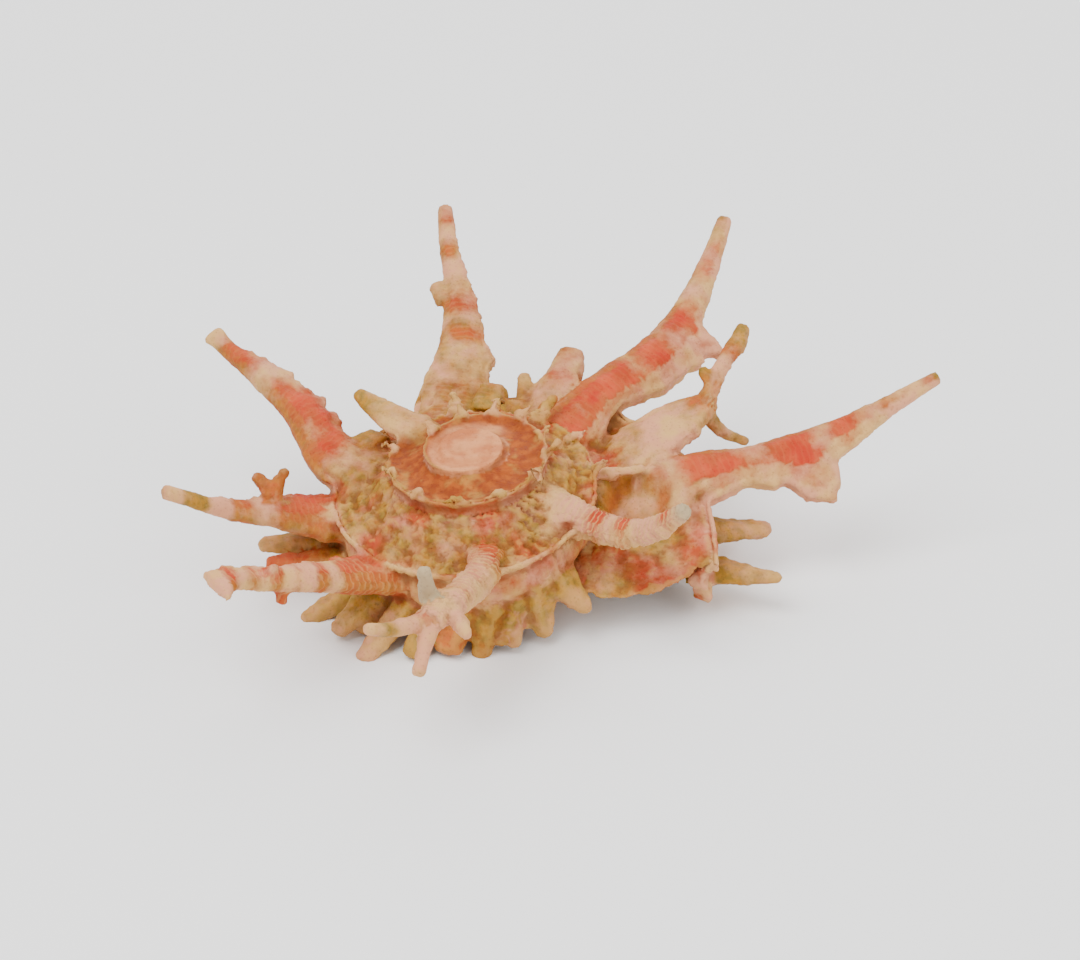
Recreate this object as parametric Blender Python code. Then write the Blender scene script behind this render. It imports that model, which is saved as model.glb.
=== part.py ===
"""Dolphin snail shell: a low coil with long gutter-shaped keel spines, all one body.

Lengths in the tables are millimetres; meshes are written in metres. The coil
axis stands at x = y = 0 with the table at z = 0 while the shell is shaped, and
AXIS_OFFSET then moves it so that the box of the shell is centred on the origin.
"""
import math

import bmesh
import bpy
import numpy as np

MM = 0.001

# coil
KEEL_RADIUS = 19.4
WHORL_GROWTH = 1.64
LIP_AZIMUTH = -18.0
LIP_START = 0.04
COIL_TURNS = 4.6
RINGS_PER_TURN = 72
FLARE = 0.25
FLARE_TURNS = 0.30
APEX_HEIGHT = 17.0
TILT_TO_VIEWER = 5.0
TILT_TO_LEFT = 4.0
LIP_DROOP = 0.46
LIP_SLANT = 0.15
LIP_REACH = 0.070
# the first whorls stand narrower and a little to the left
DISK_NARROWING = 0.17
DISK_SHIFT = 0.85
# keel depth under the apex: turns before the lip, then millimetres
KEEL_TURNS = (-0.10, 0.0, 0.08, 0.14, 0.36, 0.80, 1.00, 1.30, 1.60, 1.90, 2.40, 3.40)
KEEL_DROPS = (7.9, 7.4, 6.6, 6.1, 5.6, 5.8, 4.6, 2.9, 1.6, 0.9, 0.35, 0.0)
# hollow of the aperture
CAVITY_SCALE = 0.78
CAVITY_TURNS = 0.72
# bowl in the ramp beside the east spine: centre, half widths, depth, share of the
# half width that is its wall, and the heights where the sinking starts and is full
BOWL_CENTRE = (15.7, 0.7)
BOWL_HALF_WIDTHS = (3.7, 3.6)
BOWL_DEPTH = 1.7
BOWL_WALL = 0.40
BOWL_LEVELS = (4.0, 7.0)
# meshing
VOXEL = 0.30
SMOOTH_STEPS = 2
FACE_RATIO = 0.0405
FOOT_CUT = 0.0

AXIS_OFFSET = (-8.1, -4.0, -0.4)

# the closed section of a whorl, (radius, height) as parts of the keel radius;
# the third number is the share of the rise to the suture above
SECTION = (
    (0.50, -0.09, 1.00),
    (0.60, -0.11, 0.92),
    (0.68, -0.10, 0.66),
    (0.76, -0.085, 0.42),
    (0.84, -0.065, 0.20),
    (0.91, -0.035, 0.06),
    (0.96, 0.005, 0.0),
    (0.99, 0.010, 0.0),
    (1.00, -0.020, 0.0),
    (0.985, -0.055, 0.0),
    (0.945, -0.085, 0.0),
    (0.925, -0.13, 0.0),
    (0.945, -0.20, 0.0),
    (0.955, -0.28, 0.0),
    (0.935, -0.36, 0.0),
    (0.88, -0.44, 0.0),
    (0.79, -0.52, 0.0),
    (0.67, -0.575, 0.0),
    (0.54, -0.575, 0.0),
    (0.42, -0.52, 0.0),
    (0.33, -0.42, 0.0),
    (0.29, -0.29, 0.0),
    (0.31, -0.15, 0.35),
    (0.39, -0.09, 0.80),
)

# depth of the groove as a part of the growing side, where a spine names no other
PLAIN_GROOVE = 0.15

# long spines of the keel. Roll turns the growing edge down, in degrees. Each row
# of a path: x, y, z, width on the older side, width on the growing side, half
# thickness. Teeth: place along the spine, side (1 growing, -1 older), height,
# half width along the spine.
LONG_SPINES = {
    "northwest": {
        "azimuth": 148.0,
        "roll": 0.0,
        "groove": 0.22,
        "path": (
            (-9.0, 4.5, 9.6, 5.0, 5.0, 2.4),
            (-14.0, 7.0, 11.4, 3.7, 2.9, 1.9),
            (-18.0, 10.5, 14.4, 1.6, 2.9, 1.5),
            (-22.0, 14.0, 16.5, 1.0, 2.8, 1.2),
            (-25.3, 17.4, 17.8, 1.0, 0.9, 0.9),
            (-27.1, 19.2, 18.6, 1.0, 0.9, 0.75),
        ),
        "teeth": ((0.38, 1, 0.6, 0.05), (0.47, 1, 1.0, 0.03), (0.99, -1, 0.5, 0.03)),
    },
    "west": {
        "azimuth": 186.0,
        "roll": 0.0,
        "groove": 0.22,
        "path": (
            (-11.0, 1.5, 7.4, 3.8, 3.4, 2.3),
            (-16.0, 0.5, 8.4, 3.0, 2.8, 1.8),
            (-20.0, -1.0, 9.9, 2.2, 1.8, 1.3),
            (-24.0, -3.0, 11.4, 1.1, 1.0, 1.0),
            (-27.8, -5.1, 14.0, 0.9, 0.8, 0.75),
            (-29.6, -6.1, 15.3, 0.9, 0.8, 0.7),
        ),
        "teeth": ((0.20, -1, 0.7, 0.05),),
    },
    "southwest": {
        "azimuth": 212.0,
        "roll": 0.0,
        "groove": 0.3,
        "path": (
            (-7.5, -7.0, 6.8, 3.4, 3.2, 2.0),
            (-11.5, -10.0, 8.2, 2.3, 2.5, 1.6),
            (-15.5, -12.8, 9.8, 1.6, 1.8, 1.3),
            (-19.5, -15.2, 11.2, 1.4, 1.5, 1.1),
            (-22.4, -17.4, 12.5, 1.3, 1.9, 0.9),
            (-24.1, -18.5, 13.0, 3.9, 1.8, 0.6),
        ),
        "teeth": ((0.3, 1, 0.8, 0.04), (0.77, 1, 0.8, 0.04), (0.88, 1, 0.9, 0.03)),
    },
    "south": {
        "azimuth": 262.0,
        "roll": 0.0,
        "groove": 0.12,
        "path": (
            (1.2, -9.5, 10.0, 2.0, 2.2, 1.8),
            (0.9, -13.5, 10.8, 1.55, 1.6, 1.6),
            (-0.5, -17.0, 11.1, 1.5, 1.55, 1.5),
            (-2.5, -21.5, 12.2, 1.6, 1.7, 1.3),
            (-3.6, -24.6, 12.8, 1.2, 1.5, 1.1),
        ),
        "teeth": (),
    },
    "south_arm_left": {
        "azimuth": 262.0,
        "roll": 0.0,
        "path": (
            (-2.2, -21.5, 12.2, 1.2, 1.4, 1.0),
            (-5.0, -25.0, 12.8, 0.9, 1.1, 0.8),
            (-7.2, -27.2, 13.6, 0.8, 0.9, 0.7),
            (-9.2, -29.0, 14.9, 0.6, 0.7, 0.6),
        ),
        "teeth": ((0.55, 1, 0.7, 0.06),),
    },
    "south_arm_mid": {
        "azimuth": 262.0,
        "roll": 0.0,
        "path": (
            (-3.2, -22.5, 12.3, 1.1, 1.3, 1.0),
            (-4.2, -25.8, 11.4, 0.9, 0.9, 0.8),
            (-4.7, -28.8, 9.8, 0.7, 0.7, 0.6),
        ),
        "teeth": (),
    },
    "south_arm_right": {
        "azimuth": 262.0,
        "roll": 0.0,
        "path": (
            (-2.0, -21.5, 12.3, 1.0, 1.0, 0.9),
            (-1.0, -24.5, 12.5, 0.8, 0.8, 0.7),
            (-0.3, -26.6, 12.5, 0.5, 0.5, 0.5),
        ),
        "teeth": (),
    },
    "south_blade": {
        "azimuth": 262.0,
        "roll": 0.0,
        "path": (
            (-3.0, -21.0, 11.4, 0.8, 1.2, 0.8),
            (-3.9, -21.6, 14.2, 0.8, 1.0, 0.7),
            (-4.2, -21.9, 16.8, 0.5, 0.8, 0.55),
        ),
        "teeth": (),
    },
    "southeast": {
        "azimuth": 330.0,
        "roll": 30.0,
        "groove": 0.08,
        "path": (
            (4.5, -2.5, 12.6, 2.6, 3.6, 1.7),
            (8.0, -4.8, 12.8, 1.7, 2.5, 1.7),
            (12.0, -7.2, 12.2, 1.45, 1.7, 1.55),
            (15.6, -9.7, 13.0, 1.25, 1.4, 1.3),
            (18.6, -11.8, 15.8, 0.9, 1.0, 0.95),
            (19.8, -12.7, 17.4, 0.7, 0.8, 0.75),
        ),
        "teeth": ((0.10, 1, 1.3, 0.05), (0.24, 1, 1.3, 0.05)),
    },
    "east": {
        "azimuth": 9.0,
        "roll": 38.0,
        "path": (
            (12.5, 1.2, 8.4, 2.4, 2.8, 1.2),
            (17.0, 2.2, 10.0, 3.2, 3.8, 1.7),
            (21.5, 3.4, 11.5, 2.4, 3.6, 2.0),
            (26.5, 4.8, 12.2, 1.5, 2.7, 1.8),
            (32.0, 6.5, 12.8, 1.6, 3.2, 1.5),
            (36.4, 8.0, 14.2, 1.1, 2.4, 1.25),
            (40.0, 9.4, 15.7, 0.8, 1.5, 1.0),
            (46.0, 12.0, 17.7, 0.7, 0.7, 0.7),
        ),
        "teeth": (
            (0.59, 1, 4.0, 0.045),
            (0.54, 1, 2.8, 0.045),
            (0.625, 1, 1.6, 0.02),
            (0.46, 1, 0.9, 0.06),
        ),
    },
    "northeast": {
        "azimuth": 44.0,
        "roll": 28.0,
        "path": (
            (8.5, 9.5, 11.4, 4.2, 4.0, 2.3),
            (12.5, 13.6, 14.0, 3.1, 2.0, 2.0),
            (17.3, 18.4, 15.7, 2.5, 3.5, 1.7),
            (21.1, 24.7, 17.3, 1.9, 2.0, 1.35),
            (24.0, 31.6, 20.4, 1.2, 1.2, 1.0),
            (25.8, 37.0, 23.0, 0.8, 0.9, 0.8),
        ),
        "teeth": ((0.555, 1, 3.8, 0.045), (0.49, 1, 1.8, 0.05), (0.43, 1, 0.4, 0.05)),
    },
    "north": {
        "azimuth": 100.0,
        "roll": 0.0,
        "groove": 0.25,
        "path": (
            (-2.8, 11.5, 10.4, 4.8, 5.0, 2.2),
            (-2.4, 16.6, 12.4, 4.1, 3.8, 1.9),
            (-2.0, 22.0, 15.6, 2.4, 2.8, 1.6),
            (-2.4, 28.0, 19.2, 1.5, 1.6, 1.2),
            (-3.4, 33.0, 22.4, 1.1, 1.0, 0.9),
            (-3.8, 36.7, 24.5, 0.9, 0.75, 0.8),
        ),
        "teeth": ((0.2, 1, 0.9, 0.05), (0.36, 1, 0.9, 0.045)),
    },
    "fork_stem": {
        "azimuth": 26.0,
        "roll": 0.0,
        "path": (
            (13.0, 5.6, 10.4, 3.0, 3.4, 1.4),
            (17.3, 7.8, 12.9, 4.0, 3.8, 1.3),
            (20.9, 9.6, 14.5, 3.2, 2.6, 1.1),
            (23.4, 10.8, 15.8, 1.1, 1.1, 1.0),
        ),
        "teeth": (),
    },
    "fork_upper": {
        "azimuth": 26.0,
        "roll": 0.0,
        "path": (
            (22.6, 10.2, 15.3, 1.1, 1.2, 1.0),
            (24.3, 13.3, 18.2, 0.8, 0.9, 0.8),
            (25.7, 15.4, 19.5, 0.7, 1.5, 0.8),
            (26.8, 17.2, 20.7, 0.7, 0.7, 0.7),
        ),
        "teeth": ((0.30, -1, 0.7, 0.06),),
    },
    "fork_lower": {
        "azimuth": 26.0,
        "roll": 0.0,
        "path": (
            (22.6, 10.2, 15.0, 1.0, 1.0, 0.9),
            (24.2, 10.6, 12.5, 0.7, 0.8, 0.7),
            (27.2, 11.6, 10.4, 0.5, 0.5, 0.5),
        ),
        "teeth": (),
    },
    "stub": {
        "azimuth": 64.0,
        "roll": 0.0,
        "path": (
            (6.2, 11.5, 11.4, 2.9, 2.8, 2.0),
            (8.0, 15.2, 14.2, 2.2, 2.1, 1.6),
            (9.4, 19.4, 16.6, 1.3, 1.5, 1.1),
        ),
        "teeth": ((0.55, -1, 0.6, 0.1),),
    },
    "inner_west": {
        "azimuth": 135.0,
        "roll": 0.0,
        "path": (
            (-4.2, 5.2, 14.4, 2.0, 2.0, 1.2),
            (-7.4, 7.4, 15.1, 2.4, 1.9, 1.2),
            (-9.8, 9.4, 15.7, 1.7, 1.2, 0.9),
            (-12.1, 11.2, 16.4, 0.8, 0.6, 0.55),
        ),
        "teeth": (),
    },
    "west_frill": {
        "azimuth": 270.0,
        "roll": 0.0,
        "path": (
            (-19.6, -1.0, 9.8, 1.2, 1.1, 0.9),
            (-19.8, -0.8, 11.4, 1.0, 1.0, 0.75),
            (-19.9, -0.6, 12.5, 1.4, 1.2, 0.7),
        ),
        "teeth": (),
    },
}

# short side spines: root, tip, root radius, tip radius
BARBS = (
    ((-3.4, 27.2, 18.4), (-5.0, 28.3, 19.8), 1.3, 0.70),
    ((23.6, 11.6, 16.6), (22.3, 12.4, 18.6), 0.8, 0.5),
    ((5.2, 14.5, 12.0), (4.5, 16.6, 15.6), 1.2, 0.55),
    ((-19.0, -15.2, 12.0), (-18.4, -15.6, 12.8), 0.8, 0.5),
    ((-25.9, 18.0, 18.1), (-26.6, 18.8, 19.6), 0.7, 0.45),
    ((-20.0, -0.6, 11.9), (-21.6, -0.4, 13.9), 0.85, 0.5),
    ((-19.7, -0.6, 11.9), (-18.5, -0.4, 14.3), 0.8, 0.5),
    ((-17.8, -14.2, 10.6), (-18.1, -14.9, 8.3), 0.75, 0.5),
    ((11.0, 2.0, 12.2), (16.6, 2.3, 12.9), 0.65, 0.44),
    ((1.0, 13.6, 12.4), (1.5, 16.2, 14.4), 2.0, 1.2),
    ((3.4, 13.0, 11.6), (3.7, 14.9, 13.2), 1.9, 1.4),
    ((-10.0, 8.0, 11.2), (-11.9, 10.0, 11.9), 2.1, 1.2),
)

# lower row: tip, lean of the root along the whorl in degrees, height of the root
# on the section, root radius, tip radius
LOWER_SPINES = (
    ((29.2, 2.6, 5.7), -2.0, -0.24, 1.8, 0.85),
    ((29.8, -4.6, 4.5), 2.0, -0.28, 2.0, 0.60),
    ((26.2, 8.6, 1.8), -2.0, -0.38, 1.5, 0.50),
    ((20.0, 13.6, 1.2), 0.0, -0.40, 1.5, 0.50),
    ((14.0, 18.4, 0.0), 0.0, -0.40, 1.5, 0.55),
    ((7.0, 20.4, 1.4), 0.0, -0.40, 1.5, 0.50),
    ((-0.4, 20.6, 0.0), 0.0, -0.40, 1.5, 0.55),
    ((-7.4, 19.2, 1.2), 0.0, -0.40, 1.4, 0.50),
    ((-13.4, 14.6, 0.0), 0.0, -0.40, 1.4, 0.55),
    ((-17.6, 9.2, 1.6), 0.0, -0.40, 1.4, 0.50),
    ((-21.8, 1.8, 4.3), 2.0, -0.36, 1.6, 0.80),
    ((-20.8, -0.9, 3.8), 6.0, -0.40, 1.3, 0.90),
    ((-17.15, -5.65, 0.0), 3.0, -0.46, 1.6, 0.80),
    ((-13.65, -9.75, 1.5), 0.0, -0.38, 1.8, 0.90),
    ((-11.45, -8.65, 1.0), 2.0, -0.40, 1.8, 0.90),
    ((-11.1, -12.5, 0.2), 6.0, -0.38, 1.6, 0.85),
    ((-6.25, -13.25, 1.2), 2.0, -0.42, 1.5, 0.90),
    ((-2.75, -12.65, 1.0), 0.0, -0.42, 1.9, 1.10),
    ((0.45, -12.05, 0.0), 0.0, -0.38, 1.9, 0.75),
    ((2.4, -11.8, 1.5), 4.0, -0.38, 1.3, 0.60),
    ((3.8, -11.8, 1.2), -2.0, -0.38, 1.3, 0.60),
    ((6.8, -10.2, 1.4), -5.0, -0.36, 2.1, 0.75),
    ((4.85, -9.95, 2.2), 0.0, -0.36, 1.2, 0.50),
    ((11.0, -9.8, 4.0), -8.0, -0.36, 2.0, 0.60),
    ((9.5, -9.2, 4.0), -6.0, -0.36, 1.4, 0.55),
)

# short spines are wider along the whorl than they are deep
CONE_WIDTH = 1.12
CONE_DEPTH = 0.88

BASE_SPINES_PER_TURN = 13
KNOB_TURNS = (
    1.06, 1.13, 1.20, 1.27, 1.34, 1.50, 1.58, 1.67, 1.76,
    1.85, 1.94, 2.03, 2.10, 2.18, 2.26, 2.34, 2.44,
)
KNOB_REACH = (
    1.6, 1.2, 2.2, 1.5, 1.8, 1.2, 0.7, 0.5, 0.4,
    0.4, 1.2, 1.5, 1.1, 1.5, 1.3, 1.2, 0.9,
)
KNOB_RADII = (0.70, 0.34)


def clear_scene():
    """Remove whatever the scene holds."""
    for obj in list(bpy.data.objects):
        bpy.data.objects.remove(obj, do_unlink=True)


def smoothstep(value):
    """Ease a value from 0 to 1."""
    clipped = np.clip(value, 0.0, 1.0)
    return clipped * clipped * (3.0 - 2.0 * clipped)


def keel_radius(turn):
    """Radius of the keel at a number of turns before the lip."""
    widening = np.clip((FLARE_TURNS - turn) / FLARE_TURNS, 0.0, 1.5) ** 1.5
    narrowing = DISK_NARROWING * smoothstep((turn - 2.2) / 0.4)
    return KEEL_RADIUS * WHORL_GROWTH ** (-turn) * (1.0 + FLARE * widening - narrowing)


def keel_drop(turn):
    """Depth of the keel under the apex."""
    return np.interp(turn, KEEL_TURNS, KEEL_DROPS)


def tilt_rows(points):
    """Lean the coil and lift its apex to its height over the table."""
    forward = math.radians(TILT_TO_VIEWER)
    left = math.radians(-TILT_TO_LEFT)
    lean = np.array((
        (math.cos(left), 0.0, math.sin(left)),
        (0.0, 1.0, 0.0),
        (-math.sin(left), 0.0, math.cos(left)),
    ))
    nod = np.array((
        (1.0, 0.0, 0.0),
        (0.0, math.cos(forward), -math.sin(forward)),
        (0.0, math.sin(forward), math.cos(forward)),
    ))
    return points @ (nod @ lean).T + np.array((0.0, 0.0, APEX_HEIGHT))


def coil_points(radial, height, rise, turn):
    """Points of the whorl surface for section places at the given turns."""
    radius = keel_radius(turn)
    drop = keel_drop(turn)
    climb = drop - keel_drop(turn + 1.0)
    angle = np.radians(LIP_AZIMUTH + 360.0 * turn)
    reach = radial * radius
    level = -drop + height * radius + rise * climb
    shift = DISK_SHIFT * smoothstep((turn - 2.2) / 0.5)
    points = np.stack((reach * np.cos(angle) - shift, reach * np.sin(angle), level), axis=-1)
    placed = tilt_rows(points)
    droop = 1.0 - LIP_DROOP * smoothstep((0.10 - turn) / 0.17)
    placed[..., 2] = placed[..., 2] * droop
    return placed


def section_lag(radial, height):
    """How far a place of the growing edge runs behind the keel, in turns."""
    below = smoothstep((-height - 0.30) / 0.27)
    inner = np.clip((0.95 - radial) / 0.45, 0.0, 1.0) * np.clip((height + 0.40) / 0.20, 0.0, 1.0)
    return -0.04 + LIP_SLANT * below - LIP_REACH * inner


def sweep_coil(bm, scale, first, last):
    """Add the coil, or with a smaller scale its hollow, as one closed tube."""
    section = np.array(SECTION)
    centre = np.array((0.63, -0.27, 0.25))
    section = centre + (section - centre) * scale
    lag = section_lag(section[:, 0], section[:, 1])
    count = int(round((last - first) * RINGS_PER_TURN)) + 1
    rings = []
    for turn in np.linspace(first, last, count):
        points = coil_points(section[:, 0], section[:, 1], section[:, 2], turn + lag)
        rings.append([bm.verts.new(point * MM) for point in points])
    join_rings(bm, rings)


def join_rings(bm, rings):
    """Skin rings of equal length and cap both ends."""
    for near, far in zip(rings[:-1], rings[1:]):
        size = len(near)
        for index in range(size):
            other = (index + 1) % size
            bm.faces.new((near[index], near[other], far[other], far[index]))
    for ring in (rings[0], rings[-1]):
        middle = sum((vert.co for vert in ring), ring[0].co * 0.0) / len(ring)
        centre = bm.verts.new(middle)
        size = len(ring)
        for index in range(size):
            other = (index + 1) % size
            bm.faces.new((ring[index], ring[other], centre))


def bend(rows, count):
    """Resample a table of rows along a smooth curve."""
    rows = np.array(rows, dtype=float)
    steps = np.linalg.norm(np.diff(rows[:, :3], axis=0), axis=1)
    places = np.concatenate(((0.0,), np.cumsum(steps)))
    places = places / places[-1]
    slopes = np.gradient(rows, places, axis=0)
    samples = np.linspace(0.0, 1.0, count)
    out = np.empty((count, rows.shape[1]))
    for index, place in enumerate(samples):
        left = min(int(np.searchsorted(places, place, side="right")) - 1, len(places) - 2)
        span = places[left + 1] - places[left]
        part = (place - places[left]) / span
        square = part * part
        cube = square * part
        out[index] = (
            (2.0 * cube - 3.0 * square + 1.0) * rows[left]
            + (cube - 2.0 * square + part) * span * slopes[left]
            + (3.0 * square - 2.0 * cube) * rows[left + 1]
            + (cube - square) * span * slopes[left + 1]
        )
    return samples, out


def gutter_section(older, growing, half, groove):
    """Section of a long spine: a rounded back and two edges with a groove between."""
    return (
        (-older, 0.0),
        (-0.80 * older, 0.58 * half),
        (-0.35 * older, 0.94 * half),
        (0.20 * growing, 0.98 * half),
        (0.60 * growing, 0.80 * half),
        (0.96 * growing, 0.50 * half),
        (0.97 * growing, 0.24 * half),
        ((1.0 - groove) * growing, 0.0),
        (0.97 * growing, -0.24 * half),
        (0.96 * growing, -0.50 * half),
        (0.60 * growing, -0.80 * half),
        (0.20 * growing, -0.98 * half),
        (-0.35 * older, -0.94 * half),
        (-0.80 * older, -0.58 * half),
    )


def add_long_spine(bm, azimuth, roll, groove, path, teeth):
    """Add one long spine as a closed tube along its path."""
    turned = math.radians(roll)
    angle = math.radians(azimuth)
    growth = np.array((math.sin(angle), -math.cos(angle), 0.0))
    length = sum(math.dist(a[:3], b[:3]) for a, b in zip(path[:-1], path[1:]))
    samples, rows = bend(path, max(8, int(length / 0.55)))
    tangents = np.gradient(rows[:, :3], axis=0)
    rings = []
    for place, row, tangent in zip(samples, rows, tangents):
        forward = tangent / np.linalg.norm(tangent)
        open_side = growth - forward * np.dot(growth, forward)
        open_side = open_side / np.linalg.norm(open_side)
        downward = np.cross(forward, open_side)
        across = downward * math.cos(turned) - open_side * math.sin(turned)
        open_side = open_side * math.cos(turned) + downward * math.sin(turned)
        older = max(row[3], 0.4)
        growing = max(row[4], 0.4)
        half = max(row[5], 0.4)
        for tooth, side, height, width in teeth:
            bump = height * max(0.0, 1.0 - abs(place - tooth) / width)
            if side > 0:
                growing = growing + bump
            else:
                older = older + bump
        section = gutter_section(older, growing, half, groove)
        ring = [bm.verts.new((row[:3] + open_side * a + across * b) * MM) for a, b in section]
        rings.append(ring)
    join_rings(bm, rings)


def add_cone(bm, root, tip, root_radius, tip_radius, curl=0.0):
    """Add a small blunt spine between two points, its tip lifted by a curl."""
    root = np.array(root, dtype=float)
    tip = np.array(tip, dtype=float)
    forward = tip - root
    forward = forward / np.linalg.norm(forward)
    side = np.cross(forward, (0.0, 0.0, 1.0))
    if np.linalg.norm(side) < 0.1:
        side = np.array((1.0, 0.0, 0.0))
    side = side / np.linalg.norm(side)
    over = np.cross(side, forward)
    rings = []
    for place in (0.0, 0.25, 0.5, 0.75, 0.93, 1.0):
        radius = root_radius + (tip_radius - root_radius) * place
        if place == 1.0:
            radius = radius * 0.6
        centre = root + (tip - root) * place + over * (curl * (place * place - place))
        ring = []
        for index in range(8):
            turn = math.tau * index / 8
            offset = side * (math.cos(turn) * CONE_WIDTH) + over * (math.sin(turn) * CONE_DEPTH)
            ring.append(bm.verts.new((centre + offset * radius) * MM))
        rings.append(ring)
    join_rings(bm, rings)


def turn_at(azimuth):
    """Turns before the lip, on the last whorl, at an azimuth in degrees."""
    return ((azimuth - LIP_AZIMUTH) % 360.0) / 360.0


def add_lower_spines(bm):
    """Add the row of spines low on the side wall and the short ones of the base."""
    for tip, lean, level, root_radius, tip_radius in LOWER_SPINES:
        azimuth = math.degrees(math.atan2(tip[1], tip[0])) + lean
        turn = turn_at(azimuth)
        if turn > 0.97:
            turn = turn - 1.0
        root = coil_points(np.array(0.84), np.array(level), np.array(0.0), np.array(turn))
        add_cone(bm, root, tip, root_radius, tip_radius, curl=0.6)
    for index in range(BASE_SPINES_PER_TURN):
        turn = 0.16 + 0.80 * index / BASE_SPINES_PER_TURN
        near = coil_points(np.array(0.66), np.array(-0.54), np.array(0.0), np.array(turn))
        far = coil_points(np.array(0.70), np.array(-0.66), np.array(0.0), np.array(turn))
        far[2] = max(far[2], 0.4)
        add_cone(bm, near, far, 1.1, 0.55)


def add_knobs(bm):
    """Add the knobs and short spines along the keel of the older whorls."""
    for turn, reach in zip(KNOB_TURNS, KNOB_REACH):
        at = np.array(turn)
        near = coil_points(np.array(0.93), np.array(-0.02), np.array(0.0), at)
        far = coil_points(np.array(1.0), np.array(0.0), np.array(0.0), at)
        out = far - near
        out[2] = 0.0
        out = out / np.linalg.norm(out)
        tip = far + out * reach * 0.8 + np.array((0.0, 0.0, 0.7 * reach))
        add_cone(bm, near, tip, KNOB_RADII[0], KNOB_RADII[1])


def add_apex(bm):
    """Fill the middle of the first whorls with their worn apex."""
    middle = tilt_rows(np.array((0.0, 0.0, -0.15)))
    low = tilt_rows(np.array((0.0, 0.0, -4.0)))
    add_cone(bm, low, middle, 0.6, 2.1)


def finish_mesh(bm, name):
    """Turn a bmesh into an object of its own."""
    bmesh.ops.recalc_face_normals(bm, faces=bm.faces)
    mesh = bpy.data.meshes.new(name)
    bm.to_mesh(mesh)
    bm.free()
    obj = bpy.data.objects.new(name, mesh)
    bpy.context.scene.collection.objects.link(obj)
    return obj


def shift(obj):
    """Move the mesh of an object so that the shell is centred on the origin."""
    for vert in obj.data.vertices:
        vert.co.x += AXIS_OFFSET[0] * MM
        vert.co.y += AXIS_OFFSET[1] * MM
        vert.co.z += AXIS_OFFSET[2] * MM


def build_growth():
    """The coil and everything that grows from it, still as crossing tubes."""
    bm = bmesh.new()
    sweep_coil(bm, 1.0, LIP_START, COIL_TURNS)
    for spine in LONG_SPINES.values():
        groove = spine.get("groove", PLAIN_GROOVE)
        add_long_spine(bm, spine["azimuth"], spine["roll"], groove, spine["path"], spine["teeth"])
    for root, tip, root_radius, tip_radius in BARBS:
        add_cone(bm, root, tip, root_radius, tip_radius)
    add_lower_spines(bm)
    add_knobs(bm)
    add_apex(bm)
    obj = finish_mesh(bm, "shell")
    shift(obj)
    return obj


def build_hollow():
    """The hollow of the last whorl, open at the lip."""
    bm = bmesh.new()
    sweep_coil(bm, CAVITY_SCALE, LIP_START - 0.02, CAVITY_TURNS)
    obj = finish_mesh(bm, "hollow_cutter")
    shift(obj)
    obj.hide_render = True
    obj.display_type = "WIRE"
    return obj


def build_floor():
    """A slab that trims what would reach under the table."""
    bm = bmesh.new()
    bmesh.ops.create_cube(bm, size=1.0)
    for vert in bm.verts:
        vert.co.x *= 0.12
        vert.co.y *= 0.12
        vert.co.z = vert.co.z * 0.02 - 0.01 + FOOT_CUT * MM
    obj = finish_mesh(bm, "floor_cutter")
    obj.hide_render = True
    obj.display_type = "WIRE"
    return obj


def press_bowl(obj):
    """Sink the wall over the mouth into a shallow bowl, inside and out alike."""
    for vert in obj.data.vertices:
        across = (vert.co.x / MM - AXIS_OFFSET[0] - BOWL_CENTRE[0]) / BOWL_HALF_WIDTHS[0]
        along = (vert.co.y / MM - AXIS_OFFSET[1] - BOWL_CENTRE[1]) / BOWL_HALF_WIDTHS[1]
        inside = smoothstep((1.0 - math.hypot(across, along)) / BOWL_WALL)
        level = vert.co.z / MM - AXIS_OFFSET[2]
        share = smoothstep((level - BOWL_LEVELS[0]) / (BOWL_LEVELS[1] - BOWL_LEVELS[0]))
        vert.co.z -= BOWL_DEPTH * inside * share * MM


def add_material(obj):
    """Give the shell its surface."""
    material = bpy.data.materials.new("shell_surface")
    material.use_nodes = True
    shader = material.node_tree.nodes["Principled BSDF"]
    shader.inputs["Base Color"].default_value = (0.66, 0.34, 0.22, 1.0)
    shader.inputs["Roughness"].default_value = 0.55
    obj.data.materials.append(material)


def voxel_skin(obj):
    """Add a remesh that turns crossing tubes into one skin."""
    skin = obj.modifiers.new("skin", "REMESH")
    skin.mode = "VOXEL"
    skin.voxel_size = VOXEL * MM
    skin.adaptivity = 0.0


def carve(obj, cutter):
    """Add a cut by another solid."""
    cut = obj.modifiers.new("cut_by_" + cutter.name, "BOOLEAN")
    cut.operation = "DIFFERENCE"
    cut.solver = "EXACT"
    cut.object = cutter


def settle_modifiers(obj):
    """Replace the mesh of an object by what its modifiers make of it."""
    depsgraph = bpy.context.evaluated_depsgraph_get()
    mesh = bpy.data.meshes.new_from_object(obj.evaluated_get(depsgraph))
    obj.modifiers.clear()
    obj.data = mesh


def keep_largest_body(obj):
    """Drop the crumbs that a cut leaves beside the main body."""
    bm = bmesh.new()
    bm.from_mesh(obj.data)
    bm.verts.ensure_lookup_table()
    unseen = set(bm.verts)
    largest = set()
    while unseen:
        start = unseen.pop()
        body = {start}
        front = [start]
        while front:
            vert = front.pop()
            for edge in vert.link_edges:
                other = edge.other_vert(vert)
                if other in unseen:
                    unseen.discard(other)
                    body.add(other)
                    front.append(other)
        if len(body) > len(largest):
            largest = body
    crumbs = [vert for vert in bm.verts if vert not in largest]
    bmesh.ops.delete(bm, geom=crumbs, context="VERTS")
    bm.to_mesh(obj.data)
    bm.free()


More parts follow.
